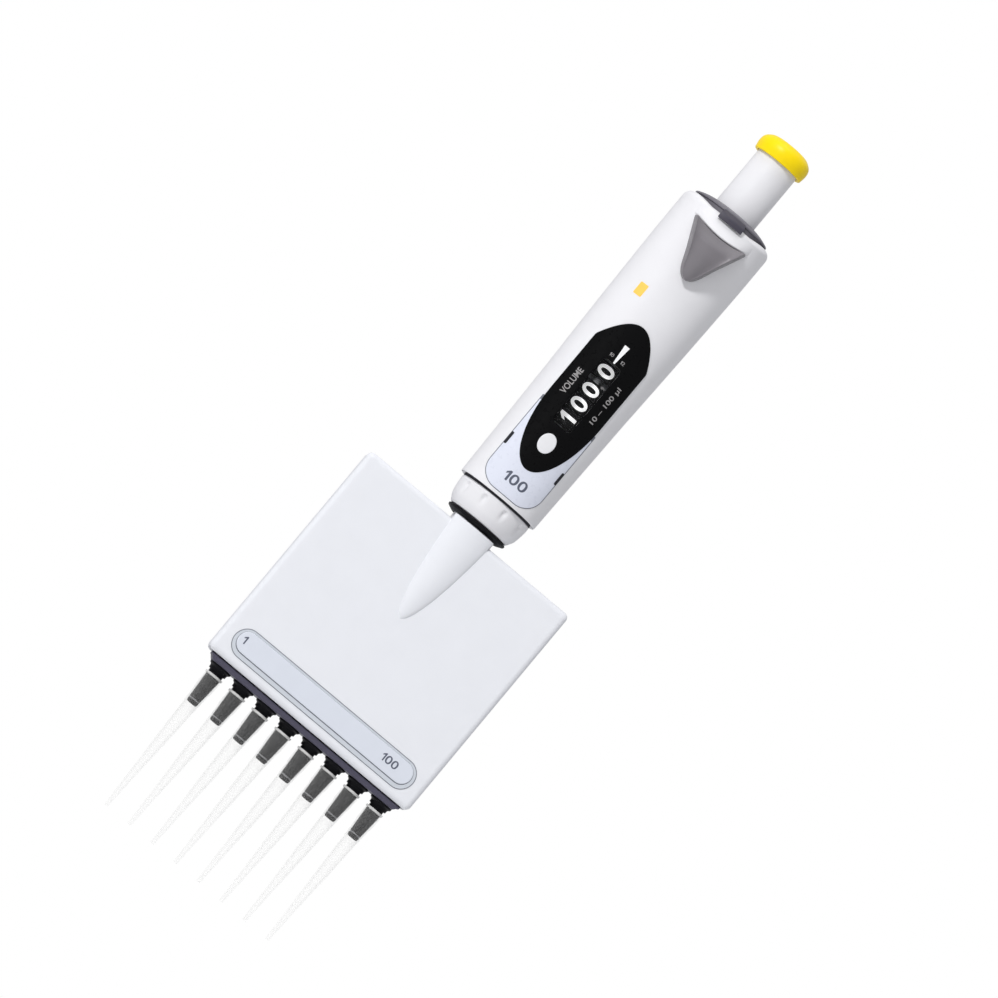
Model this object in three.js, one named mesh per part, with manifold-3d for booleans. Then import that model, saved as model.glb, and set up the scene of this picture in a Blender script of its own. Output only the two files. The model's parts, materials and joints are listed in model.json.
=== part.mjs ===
// An eight-channel adjustable pipette with its eight tips on, in millimetres.
// +Z runs up the pipette's axis and the display faces -Y. z = 0 is the flat underside of the finger hook.
import * as THREE from "three";
import { mergeVertices } from "three/addons/utils/BufferGeometryUtils.js";
import Module from "manifold-3d";

const wasm = await Module();
wasm.setup();

// ---- Driving dimensions ----
const GAP = 0.3; // between pieces that touch on the real object
const CHANNELS = 8;
const PITCH = 9; // channel pitch of a 96-well plate
const STROKE = 18.15; // measuring stroke of 14.15 and 4 of blow-out
const EJECT_TRAVEL = 8;
const BODY_SEGMENTS = 48;
const RING_SEGMENTS = 32;
const ROD_SEGMENTS = 12;

const HANDLE = { top: 24, shoulder: 21.4, waist: -44, bottom: -85.8, wall: 2 };
const HANDLE_RADIUS = { top: 16.15, waist: 14.9, bottom: 13.9 };
const SHOULDER_ROUND = HANDLE.top - HANDLE.shoulder;
const HOOK = { halfWidth: 8, reach: 39.5, thick: 6, tipBelow: 9 };

const BUTTON = { radius: 9.1, bottom: 46.6, top: 53.5, round: 3 };
const SHAFT = { radius: 7.3, bore: 5.6, bottom: 6, boreTop: 34.6 };
const ROD_RADIUS = 2;
const ROD_SPLIT = -87.85; // the handle's rod ends here and the module's push rod begins
const LOCK = { radius: 13.75, base: 24.3, top: 26.5, tabHalfWidth: 4.3, tabBottom: 21 };

const BEZEL = { top: -19.1, shoulder: -29.1, taper: -50.2, bottom: -74.4, half: 9.9 };
const BEZEL_PROUD = 0.35;
const WINDOW = { halfWidth: 4.4, top: -33.2, bottom: -57.9, corner: 1.6 };
const PLATE = { halfWidth: 10.1, top: -56, bottom: -84.3, corner: 6, topCorner: 0.5, thick: 0.9 };
const CALIBRATION = { z: -64.4, halfWidth: 2.7, halfHeight: 3.3 };

const DRUM = { radius: 10.4, bore: 4.8, height: 5.2 };
const DRUM_CENTRES = { tenths: -35.9, units: -43.1, tens: -48.6, hundreds: -54.1 };
const COUNTER = { top: -30.4, bottom: -59.5, plate: 2, earReach: 12.2, pillarAt: 11.5, pillarRadius: 0.7 };
const SPINDLE = { radius: 4.4, bore: 2.6, head: 5.2, headTop: 4, headBottom: -2, bottom: -60.8 };

const TRIGGER = { top: 17.6, bottom: 0, half: 10.1, sag: 2.6, front: -22.6, tipFront: -19.4, back: -16.5 };
const STEM = { halfWidth: 1.7, top: 14.6, bottom: 9, front: -17.4 };
const YOKE = { inner: 8.3, outer: 13.2, top: 6, bottom: 3 };
const STRAP = { halfWidth: 3, front: 10.8, back: 11.6 };
const WEB = { top: -62, bottom: -65 };
const TUBE = { radius: 4, bore: 2.5, bottom: -106.1 };

const SPIGOT = { radius: 8.85, bore: 8.05, bottom: -92.2, flange: 11.6, flangeBottom: -83.5, top: -81.2 };
const NUT = { top: -86.6, waist: -91.4, bottom: -95.1, radius: 12.9, lowRadius: 11, bore: 9.2, lip: 8.05 };
const NUT_DIMPLES = 12;
const NECK = { radius: 7.75, bore: 4.6, top: -86, shoulderTop: -92.5, shoulderBottom: -93.8 };
const NECK_FLANGE = { radius: 8.9, top: -102.3, bottom: -104 };
const GASKET = { radius: 11, bore: 8.1, top: -95.4, bottom: -97.6 };

const MODULE = { halfWidth: 39, halfDepth: 8, top: -99.3, bottom: -175.9, edge: 1.2, wall: 1.5 };
const CAVITY_TOP = -105.8;
const FAIRING = [
  [10.5, MODULE.top],
  [10.2, -105],
  [9.7, -111],
  [9.15, -118],
  [8.6, -125.5],
  [8.15, -130.5],
  [7.6, -134.5],
];
const LABEL = { halfWidth: 35, halfHeight: 4.95, z: -168.2, thick: 0.5 };
const EJECTOR = { half: 36.8, armInner: 35.4, barTop: -106.4, barBottom: -109, depth: 3 };
const STRIP = { top: -176.2, bottom: -178.1, halfDepth: 6, chamfer: 1.6 };
const FLANGE = { radius: 3.85, bottom: -180.2 };
const FRAME = { half: 35, halfDepth: 6.2, bottom: -174.4, plateTop: -168.5, shelfTop: -152, shelf: 3.5 };
const CARRIAGE = { half: 34, halfDepth: 5, top: -120, bottom: -124 };
const PISTON = { radius: 1.5, bottom: -160 };
const CONE = { radius: 2.5, bore: 1.9, top: -152.3, boreBottom: -179, shoulder: -181 };
const NOSE = { radius: 1.95, end: -192.2 };
const AIR_RADIUS = 0.8; // of the channel through a cone's nose
const TIP = { rim: -181.2, collar: 3.3, collarEnd: -187, seal: 0.15, end: -232 };

// ---- Materials ----
const material = (color, roughness, metalness = 0) =>
  new THREE.MeshStandardMaterial({ color, roughness, metalness });
const WHITE = material(0xf0eff4, 0.45);
const MODULE_WHITE = material(0xebedf5, 0.5);
const YELLOW = material(0xffe800, 0.4);
const DOME_GREY = material(0x807c88, 0.5);
const TRIGGER_GREY = material(0x8a868c, 0.5);
const BLACK = material(0x16161a, 0.25);
const PLATE_BLUE = material(0xd2dde8, 0.4);
const SILVER = material(0xc8c8cc, 0.35, 0.8);
const STEEL = material(0xb4b6ba, 0.3, 1);
const CONE_GREY = material(0x46464c, 0.45);
const STRIP_GREY = material(0x645f73, 0.5);
const CLEAR = material(0xf2f4f6, 0.2);
CLEAR.transparent = true;
CLEAR.opacity = 0.35;

// ---- Solids ----
function solid(geometry) {
  const bare = geometry.clone();
  bare.deleteAttribute("normal");
  bare.deleteAttribute("uv");
  const merged = mergeVertices(bare, 1e-4);
  const vertProperties = merged.attributes.position.array;
  const triVerts = new Uint32Array(merged.index.array);
  return new wasm.Manifold(new wasm.Mesh({ numProp: 3, vertProperties, triVerts }));
}

function geometryOf(made) {
  const mesh = made.getMesh();
  const geometry = new THREE.BufferGeometry();
  geometry.setAttribute("position", new THREE.BufferAttribute(mesh.vertProperties, 3));
  geometry.setIndex(new THREE.BufferAttribute(mesh.triVerts, 1));
  geometry.computeVertexNormals();
  return geometry;
}

const join = (...parts) => parts.reduce((a, b) => a.add(b));
const cut = (base, ...tools) => tools.reduce((a, b) => a.subtract(b), base);

function block([x0, x1], [y0, y1], [z0, z1]) {
  const box = new THREE.BoxGeometry(x1 - x0, y1 - y0, z1 - z0);
  return solid(box.translate((x0 + x1) / 2, (y0 + y1) / 2, (z0 + z1) / 2));
}

// A solid turned about the Z axis from [radius, z] points that run up its outside, or round a ring.
function turned(points, segments = RING_SEGMENTS, x = 0) {
  const outline = points.map(([radius, z]) => new THREE.Vector2(radius, z));
  const lathe = new THREE.LatheGeometry(outline, segments);
  return solid(lathe.rotateX(Math.PI / 2).translate(x, 0, 0));
}

function rod(radius, bottom, top, segments = ROD_SEGMENTS, x = 0) {
  return turned([[0, bottom], [radius, bottom], [radius, top], [0, top]], segments, x);
}

function ring(inner, outer, bottom, top, segments = RING_SEGMENTS) {
  const corners = [[inner, bottom], [outer, bottom], [outer, top], [inner, top], [inner, bottom]];
  return turned(corners, segments);
}

// An outline in X and Z, extruded along Y.
function facing(shape, front, back, curveSegments = 8) {
  const options = { depth: back - front, bevelEnabled: false, curveSegments };
  const extruded = new THREE.ExtrudeGeometry(shape, options);
  return solid(extruded.rotateX(Math.PI / 2).translate(0, back, 0));
}

// An outline in Y and Z, extruded along X on both sides of the middle.
function sideways(shape, halfWidth, curveSegments = 6) {
  const options = { depth: 2 * halfWidth, bevelEnabled: false, curveSegments };
  const extruded = new THREE.ExtrudeGeometry(shape, options);
  extruded.rotateX(Math.PI / 2).rotateZ(Math.PI / 2);
  return solid(extruded.translate(-halfWidth, 0, 0));
}

function roundedRectangle(halfWidth, bottom, top, corner, topCorner = corner) {
  const shape = new THREE.Shape();
  shape.moveTo(-halfWidth + corner, bottom);
  shape.lineTo(halfWidth - corner, bottom);
  shape.absarc(halfWidth - corner, bottom + corner, corner, -Math.PI / 2, 0);
  shape.absarc(halfWidth - topCorner, top - topCorner, topCorner, 0, Math.PI / 2);
  shape.absarc(-halfWidth + topCorner, top - topCorner, topCorner, Math.PI / 2, Math.PI);
  shape.absarc(-halfWidth + corner, bottom + corner, corner, Math.PI, 1.5 * Math.PI);
  return shape;
}

// A compression spring about the Z axis.
function spring(meanRadius, wireRadius, bottom, top, turns) {
  class Helix extends THREE.Curve {
    getPoint(t, target = new THREE.Vector3()) {
      const angle = 2 * Math.PI * turns * t;
      const height = bottom + wireRadius + (top - bottom - 2 * wireRadius) * t;
      return target.set(meanRadius * Math.cos(angle), meanRadius * Math.sin(angle), height);
    }
  }
  const section = new THREE.Shape().absarc(0, 0, wireRadius, 0, 2 * Math.PI);
  const options = { steps: turns * 9, bevelEnabled: false, extrudePath: new Helix(), curveSegments: 3 };
  return solid(new THREE.ExtrudeGeometry(section, options));
}

function piece(name, made, colour) {
  const mesh = new THREE.Mesh(geometryOf(made), colour.clone());
  mesh.name = name;
  return mesh;
}

// ---- Handle ----
// The handle's outside, grown or shrunk by a distance, as [radius, z] points from the bottom up.
function skin(grow) {
  return [
    [HANDLE_RADIUS.bottom + grow, HANDLE.bottom],
    [HANDLE_RADIUS.waist + grow, HANDLE.waist],
    [HANDLE_RADIUS.top + grow, 10],
    [HANDLE_RADIUS.top + grow, HANDLE.shoulder],
  ];
}

// A tube that follows the handle's outside between two distances from it.
function skinBand(inner, outer) {
  const inside = skin(inner).reverse();
  return turned([...skin(outer), ...inside, skin(outer)[0]], BODY_SEGMENTS);
}

function shoulderRound() {
  const points = [];
  for (let step = 1; step <= 4; step += 1) {
    const angle = (step * Math.PI) / 8;
    const radius = HANDLE_RADIUS.top - SHOULDER_ROUND + SHOULDER_ROUND * Math.cos(angle);
    points.push([radius, HANDLE.shoulder + SHOULDER_ROUND * Math.sin(angle)]);
  }
  return points;
}

// The display's outline, or that outline grown by a distance.
function bezelOutline(grow) {
  const { top, shoulder, taper, bottom, half } = BEZEL;
  const shape = new THREE.Shape();
  shape.moveTo(half + grow, taper);
  shape.lineTo(half + grow, shoulder);
  shape.quadraticCurveTo(0, 2 * (top + grow) - shoulder, -half - grow, shoulder);
  shape.lineTo(-half - grow, taper);
  shape.absellipse(0, taper, half + grow, taper - bottom + grow, Math.PI, 2 * Math.PI);
  return shape;
}

function plateOutline(grow) {
  const { halfWidth, bottom, top, corner, topCorner } = PLATE;
  return roundedRectangle(halfWidth + grow, bottom - grow, top + grow, corner + grow, topCorner);
}

function calibrationOutline(grow) {
  const { z, halfWidth, halfHeight } = CALIBRATION;
  return new THREE.Shape().absellipse(0, z, halfWidth + grow, halfHeight + grow, 0, 2 * Math.PI);
}

function windowOutline(grow) {
  return roundedRectangle(WINDOW.halfWidth + grow, WINDOW.bottom - grow, WINDOW.top + grow, WINDOW.corner);
}

const BEHIND = 0; // outlines cut the front of the handle from here forward
const AHEAD = -30;
const inFront = (shape) => facing(shape, AHEAD, BEHIND);

function hook() {
  const { reach, thick, tipBelow, halfWidth } = HOOK;
  const shape = new THREE.Shape();
  const root = 12.5;
  shape.moveTo(root, 0);
  shape.lineTo(reach - 8, 0);
  shape.quadraticCurveTo(reach - 3.5, 0, reach - 3.5, -tipBelow + 1);
  shape.quadraticCurveTo(reach - 1.5, -tipBelow - 1, reach, -tipBelow + 1.5);
  shape.quadraticCurveTo(reach + 0.5, thick - 0.5, reach - 12, thick);
  shape.quadraticCurveTo(root + 6, thick + 0.5, root, thick + 8);
  return sideways(shape, halfWidth);
}

function handleBody() {
  const outline = [[0, HANDLE.bottom], ...skin(0), ...shoulderRound(), [0, HANDLE.top]];
  const outside = turned(outline, BODY_SEGMENTS);
  const { wall, bottom, shoulder } = HANDLE;
  const floor = bottom + wall;
  const ceiling = HANDLE.top - wall;
  const inner = skin(-wall).map(([radius, z]) => [radius, Math.max(z, floor)]);
  inner[3] = [HANDLE_RADIUS.top - wall, shoulder - 1];
  const ceilingEdge = [HANDLE_RADIUS.top - wall - 1.6, ceiling];
  const inside = turned([[0, floor], ...inner, ceilingEdge, [0, ceiling]], BODY_SEGMENTS);
  const shaftHole = rod(SHAFT.radius + 0.6, ceiling - 1, HANDLE.top + 1, RING_SEGMENTS);
  const spigotHole = rod(SPIGOT.radius + GAP, bottom - 1, floor + 1, RING_SEGMENTS);
  return { outside, inside, shaftHole, spigotHole };
}

function handleShells() {
  const { outside, inside, shaftHole, spigotHole } = handleBody();
  const far = 60;
  const frontHalf = block([-far, far], [-far, -GAP / 2], [-far * 2, far]);
  const rearHalf = block([-far, far], [GAP / 2, far], [-far * 2, far]);
  const stemSlot = block(
    [-STEM.halfWidth - GAP, STEM.halfWidth + GAP],
    [AHEAD, -8],
    [STEM.bottom - EJECT_TRAVEL - GAP, STEM.top + GAP],
  );
  const plateRecess = inFront(plateOutline(GAP)).intersect(skinBand(-PLATE.thick - GAP, 5));
  const front = cut(
    outside.intersect(frontHalf),
    inside,
    shaftHole,
    spigotHole,
    inFront(bezelOutline(GAP)),
    plateRecess,
    stemSlot,
  );
  const rear = cut(join(outside.intersect(rearHalf), hook()), inside, shaftHole, spigotHole);
  return [piece("handle_front_shell", front, WHITE), piece("handle_rear_shell", rear, WHITE)];
}

function display() {
  const bezelBlank = inFront(bezelOutline(0)).intersect(skinBand(-HANDLE.wall, BEZEL_PROUD));
  const bezel = cut(bezelBlank, inFront(windowOutline(GAP)), inFront(calibrationOutline(GAP)));
  const lens = inFront(windowOutline(0)).intersect(skinBand(-1.4, BEZEL_PROUD - 0.1));
  const cover = inFront(calibrationOutline(0)).intersect(skinBand(-1.6, BEZEL_PROUD + 0.25));
  const plateBlank = inFront(plateOutline(0)).intersect(skinBand(-PLATE.thick, 0.15));
  return [
    piece("display_bezel", bezel, BLACK),
    piece("display_lens", lens, CLEAR),
    piece("calibration_cover", cover, SILVER),
    piece("id_plate", cut(plateBlank, inFront(bezelOutline(GAP))), PLATE_BLUE),
  ];
}

// Two plates on two pillars, which carry the four number drums.
function counterFrame() {
  const { top, bottom, plate, earReach, pillarAt, pillarRadius } = COUNTER;
  const plateAbove = (z) => {
    const disc = rod(DRUM.radius, z, z + plate, RING_SEGMENTS);
    const ears = block([-earReach, earReach], [-1.2, 1.2], [z, z + plate]);
    return cut(join(disc, ears), rod(SPINDLE.radius + GAP, z - 1, z + plate + 1));
  };
  const pillars = [-pillarAt, pillarAt].map((x) => rod(pillarRadius, bottom + 0.5, top - 0.5, 8, x));
  const plates = [plateAbove(bottom), plateAbove(top - plate)];
  return piece("counter_frame", join(...plates, ...pillars), DOME_GREY);
}

function drums() {
  return Object.entries(DRUM_CENTRES).map(([name, centre]) => {
    const bottom = -DRUM.height / 2;
    const drum = piece(`drum_${name}`, ring(DRUM.bore, DRUM.radius, bottom, -bottom), BLACK);
    drum.position.z = centre;
    return drum;
  });
}

function handleInsides() {
  const bushing = ring(SHAFT.radius + 0.35, 10, 10.5, HANDLE.top - HANDLE.wall - GAP);
  const { radius, bore, bottom, flange, flangeBottom, top } = SPIGOT;
  const ceiling = flangeBottom + 0.3;
  const spigot = turned([
    [bore, bottom],
    [radius, bottom],
    [radius, flangeBottom],
    [flange, flangeBottom],
    [flange, top],
    [TUBE.radius + GAP, top],
    [TUBE.radius + GAP, ceiling],
    [bore, ceiling],
    [bore, bottom],
  ]);
  return [
    piece("shaft_bushing", bushing, DOME_GREY),
    piece("handle_spigot", spigot, WHITE),
    piece("ejector_spring", spring(6, 0.5, top + GAP, WEB.bottom - GAP, 5), STEEL),
  ];
}

// ---- Plunger, volume setting and lock ----
function plunger() {
  const { radius, bottom, top, round } = BUTTON;
  const crown = [0, 0.25, 0.5, 0.75, 1].map((part) => {
    const angle = (part * Math.PI) / 2;
    return [radius - 0.15 - round + round * Math.cos(angle), top - 0.6 - round + round * Math.sin(angle)];
  });
  const button = turned([[0, bottom], [radius - 0.5, bottom], [radius, bottom + 2], ...crown, [0, top]]);
  const shaft = turned([
    [ROD_RADIUS + GAP, SHAFT.boreTop],
    [SHAFT.bore, SHAFT.boreTop],
    [SHAFT.bore, SHAFT.bottom],
    [SHAFT.radius, SHAFT.bottom],
    [SHAFT.radius, bottom - GAP],
    [ROD_RADIUS + GAP, bottom - GAP],
    [ROD_RADIUS + GAP, SHAFT.boreTop],
  ]);
  return [
    piece("operating_button", button, YELLOW),
    piece("plunger_shaft", shaft, WHITE),
    piece("control_rod", rod(ROD_RADIUS, ROD_SPLIT + GAP / 2, bottom - GAP), STEEL),
  ];
}

function volumeSetting() {
  const { radius, bore, head, headTop, headBottom, bottom } = SPINDLE;
  const spindle = turned([
    [bore, bottom],
    [radius, bottom],
    [radius, headBottom],
    [head, headBottom],
    [head, headTop],
    [bore, headTop],
    [bore, bottom],
  ]);
  return [
    piece("setting_spindle", spindle, STEEL),
    piece("plunger_spring", spring(3.8, 0.5, headTop + GAP, SHAFT.boreTop - GAP, 7), STEEL),
  ];
}

function lockRing() {
  const { radius, base, top, tabHalfWidth, tabBottom } = LOCK;
  const bore = SHAFT.radius + 0.45;
  const dome = turned([
    [bore, base],
    [radius, base],
    [radius, base + 0.7],
    [radius - 1, base + 1.6],
    [radius - 3, top - 0.3],
    [bore, top],
    [bore, base],
  ]);
  const clear = HANDLE_RADIUS.top + GAP;
  const tab = turned([
    [radius - 1.2, base],
    [clear - 0.6, base - 0.4],
    [clear, tabBottom],
    [clear + 0.8, tabBottom],
    [clear, base + 0.2],
    [radius - 0.4, base + 1],
    [radius - 1.2, base],
  ], BODY_SEGMENTS);
  const tabRegion = block([-tabHalfWidth, tabHalfWidth], [AHEAD, -8], [tabBottom - 1, top]);
  return piece("volume_lock_ring", join(dome, tab.intersect(tabRegion)), DOME_GREY);
}

// ---- Tip ejector in the handle ----
function trigger() {
  const { top, bottom, half, sag, front, tipFront, back } = TRIGGER;
  const shape = new THREE.Shape();
  shape.moveTo(-2, bottom);
  shape.quadraticCurveTo(0, bottom - 0.3, 2, bottom);
  shape.quadraticCurveTo(4.4, top - 12, 8.2, top - 4.3);
  shape.lineTo(half, top);
  shape.quadraticCurveTo(0, top - 2 * sag, -half, top);
  shape.lineTo(-8.2, top - 4.3);
  shape.quadraticCurveTo(-4.4, top - 12, -2, bottom);
  const side = new THREE.Shape();
  side.moveTo(back, bottom - 1);
  side.lineTo(back, top + 1);
  side.lineTo(front, top + 1);
  side.quadraticCurveTo(front + 0.4, top - 8, tipFront, bottom + 1);
  side.lineTo(tipFront, bottom - 1);
  const pad = facing(shape, front - 1, 0).intersect(sideways(side, half + 1));
  const clearOfHandle = rod(HANDLE_RADIUS.top + GAP, -30, 30, BODY_SEGMENTS);
  const { halfWidth: stemHalf, front: stemFront, bottom: stemBottom, top: stemTop } = STEM;
  const stem = block([-stemHalf, stemHalf], [stemFront, -YOKE.outer - GAP], [stemBottom, stemTop]);
  return piece("ejector_trigger", join(cut(pad, clearOfHandle), stem), TRIGGER_GREY);
}

// The yoke rings the plunger shaft, and its strap runs down behind the counter to the tube on the axis.
function ejectorDrive() {
  const { halfWidth, front, back } = STRAP;
  const yoke = ring(YOKE.inner, YOKE.outer, YOKE.bottom, YOKE.top);
  const post = block([-STEM.halfWidth, STEM.halfWidth], [-YOKE.outer, -11.2], [YOKE.bottom, STEM.top]);
  const strap = block([-halfWidth, halfWidth], [front, back], [WEB.bottom, YOKE.top]);
  const web = block([-halfWidth, halfWidth], [0, back], [WEB.bottom, WEB.top]);
  const tube = rod(TUBE.radius, TUBE.bottom, WEB.top, 24);
  const bore = rod(TUBE.bore, TUBE.bottom - 1, WEB.top + 1, 24);
  return piece("ejector_strap", cut(join(yoke, post, strap, web, tube), bore), STRIP_GREY);
}

// ---- Coupling between the handle and the module ----
function collarNut() {
  const { top, waist, bottom, radius, lowRadius, bore, lip } = NUT;
  const blank = turned([
    [lip, bottom],
    [lowRadius, bottom],
    [radius, waist],
    [radius, top],
    [bore, top],
    [bore, bottom + 1],
    [lip, bottom + 1],
    [lip, bottom],
  ]);
  const dimples = Array.from({ length: NUT_DIMPLES }, (_, index) => {
    const angle = (2 * Math.PI * (index + 0.5)) / NUT_DIMPLES;
    const dimple = new THREE.SphereGeometry(1, 10, 6).scale(1.9, 1.1, 3.2);
    dimple.translate(0, -radius - 0.2, (top + bottom) / 2 + 0.2).rotateZ(angle);
    return solid(dimple);
  });
  return piece("collar_nut", cut(blank, ...dimples), WHITE);
}

function neck() {
  const { radius, bore, top, shoulderTop, shoulderBottom } = NECK;
  const tube = ring(bore, radius, NECK_FLANGE.bottom + 0.5, top);
  const shoulder = ring(radius - 1, 8.7, shoulderBottom, shoulderTop);
  const flange = ring(bore, NECK_FLANGE.radius, NECK_FLANGE.bottom, NECK_FLANGE.top);
  return [
    piece("module_neck", join(tube, shoulder, flange), WHITE),
    piece("gasket_ring", ring(GASKET.bore, GASKET.radius, GASKET.bottom, GASKET.top), CONE_GREY),
  ];
}

// ---- Eight-channel module ----
function stadium(halfWidth, halfHeight, z) {
  return roundedRectangle(halfWidth, z - halfHeight, z + halfHeight, halfHeight - 0.01);
}

function moduleCovers() {
  const { halfWidth, halfDepth, top, bottom, edge, wall } = MODULE;
  const plan = roundedRectangle(halfWidth, bottom, top, edge);
  const slab = facing(plan, -halfDepth, halfDepth, 3);
  const fairingBottom = FAIRING[FAIRING.length - 1][1];
  const fairing = turned([[0, fairingBottom], ...[...FAIRING].reverse(), [0, top]], BODY_SEGMENTS);
  const cavity = block(
    [-halfWidth + wall, halfWidth - wall],
    [-halfDepth + wall, halfDepth - wall],
    [bottom - 1, CAVITY_TOP],
  );
  const neckPocket = join(
    rod(NECK.radius + GAP, -102, -90, RING_SEGMENTS),
    rod(NECK_FLANGE.radius + GAP, NECK_FLANGE.bottom - GAP, -102, RING_SEGMENTS),
    rod(NECK.bore, CAVITY_TOP - 1, NECK_FLANGE.bottom, 24),
  );
  const recessOutline = stadium(LABEL.halfWidth + GAP, LABEL.halfHeight + GAP, LABEL.z);
  const recess = facing(recessOutline, -halfDepth - 1, -halfDepth + LABEL.thick + GAP);
  const body = cut(join(slab, fairing), cavity, neckPocket);
  const far = 100;
  const frontHalf = block([-far, far], [-far, -GAP / 2], [-2 * far, far]);
  const rearHalf = block([-far, far], [GAP / 2, far], [-2 * far, far]);
  const labelOutline = stadium(LABEL.halfWidth, LABEL.halfHeight, LABEL.z);
  const label = facing(labelOutline, -halfDepth, -halfDepth + LABEL.thick);
  return [
    piece("module_front_cover", cut(body.intersect(frontHalf), recess), MODULE_WHITE),
    piece("module_rear_cover", body.intersect(rearHalf), MODULE_WHITE),
    piece("module_label", label, PLATE_BLUE),
  ];
}

const channelX = Array.from({ length: CHANNELS }, (_, index) => (index - (CHANNELS - 1) / 2) * PITCH);

// The bottom plate and the shelf that hold the cones, joined by three posts between them.
function coneFrame() {
  const { half, halfDepth, bottom, plateTop, shelfTop, shelf } = FRAME;
  const plate = block([-half, half], [-halfDepth, halfDepth], [bottom, plateTop]);
  const shelfPlate = block([-half, half], [-halfDepth, halfDepth], [shelfTop - shelf, shelfTop]);
  const postAt = (x) => block([x - 1.5, x + 1.5], [-2, 2], [bottom + 1, shelfTop - 1]);
  const posts = [-2 * PITCH, 0, 2 * PITCH].map(postAt);
  const holes = channelX.map((x) => rod(CONE.radius + GAP, bottom - 1, shelfTop + 1, ROD_SEGMENTS, x));
  return piece("cone_frame", cut(join(plate, shelfPlate, ...posts), ...holes), STRIP_GREY);
}

function ejectorFrame() {
  const { half, armInner, barTop, barBottom, depth } = EJECTOR;
  const bar = block([-half, half], [-depth, depth], [barBottom, barTop]);
  const arms = [-1, 1].map((side) => {
    const edges = [side * armInner, side * half].sort((a, b) => a - b);
    return block(edges, [-depth, depth], [STRIP.top - 1, barTop]);
  });
  const outline = new THREE.Shape();
  outline.moveTo(-half + STRIP.chamfer, STRIP.bottom);
  outline.lineTo(half - STRIP.chamfer, STRIP.bottom);
  outline.lineTo(half, STRIP.top);
  outline.lineTo(-half, STRIP.top);
  const strip = facing(outline, -STRIP.halfDepth, STRIP.halfDepth);
  const flanges = channelX.map((x) => rod(FLANGE.radius, FLANGE.bottom, STRIP.top - 0.5, 20, x));
  const holeAt = (x) => rod(CONE.radius + GAP, FLANGE.bottom - 1, STRIP.top + 1, ROD_SEGMENTS, x);
  const holes = channelX.map(holeAt);
  const rodHole = rod(TUBE.bore, barBottom - 1, barTop + 1);
  return piece("ejector_frame", cut(join(bar, ...arms, strip, ...flanges), ...holes, rodHole), STRIP_GREY);
}

function pistonCarriage() {
  const { half, halfDepth, top, bottom } = CARRIAGE;
  const bar = block([-half, half], [-halfDepth, halfDepth], [bottom, top]);
  return [
    piece("piston_carriage", bar, CONE_GREY),
    piece("push_rod", rod(ROD_RADIUS, top + GAP, ROD_SPLIT - GAP / 2), STEEL),
  ];
}

function tipCone() {
  const { radius, bore, top, boreBottom, shoulder } = CONE;
  return turned([
    [AIR_RADIUS, NOSE.end],
    [NOSE.radius, NOSE.end],
    [radius - 0.05, shoulder],
    [radius, shoulder + 5],
    [radius, top],
    [bore, top],
    [bore, boreBottom],
    [AIR_RADIUS, boreBottom],
    [AIR_RADIUS, NOSE.end],
  ], ROD_SEGMENTS);
}

function tip() {
  const { rim, collar, collarEnd, seal, end } = TIP;
  return turned([
    [0.3, end],
    [0.65, end],
    [1.9, -206],
    [2.4, -194],
    [2.85, collarEnd - 0.6],
    [collar, collarEnd],
    [collar, rim],
    [CONE.radius + seal, rim],
    [NOSE.radius + seal, NOSE.end - 0.3],
    [1.5, -206],
    [0.3, end],
  ], ROD_SEGMENTS);
}

function channel(index) {
  const group = new THREE.Group();
  group.position.x = channelX[index];
  const number = index + 1;
  group.add(piece(`tip_cone_${number}`, tipCone(), CONE_GREY));
  group.add(piece(`piston_${number}`, rod(PISTON.radius, PISTON.bottom, CARRIAGE.bottom - GAP, 12), STEEL));
  group.add(piece(`tip_${number}`, tip(), CLEAR));
  return group;
}

function returnSpring(name, x) {
  const made = spring(2.2, 0.35, FRAME.shelfTop + GAP, CARRIAGE.bottom - GAP, 7);
  const mesh = piece(name, made, STEEL);
  mesh.position.x = x;
  return mesh;
}

// ---- Assembly ----
const handle = new THREE.Group();
handle.add(...handleShells(), ...display(), counterFrame(), ...drums(), ...handleInsides());
handle.add(...plunger(), ...volumeSetting(), lockRing(), trigger(), ejectorDrive());

const lowerPart = new THREE.Group();
lowerPart.add(collarNut(), ...neck(), ...moduleCovers(), coneFrame(), ejectorFrame(), ...pistonCarriage());
lowerPart.add(returnSpring("return_spring_left", -2 * PITCH), returnSpring("return_spring_right", 2 * PITCH));
channelX.forEach((x, index) => lowerPart.add(channel(index)));

const group = new THREE.Group();
group.add(handle, lowerPart);

export default group;
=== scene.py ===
"""Looks of an eight-channel pipette with its tips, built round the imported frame. Lengths are in millimetres."""
import json
import math

import bmesh
import bpy
from mathutils import Matrix, Vector

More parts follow.
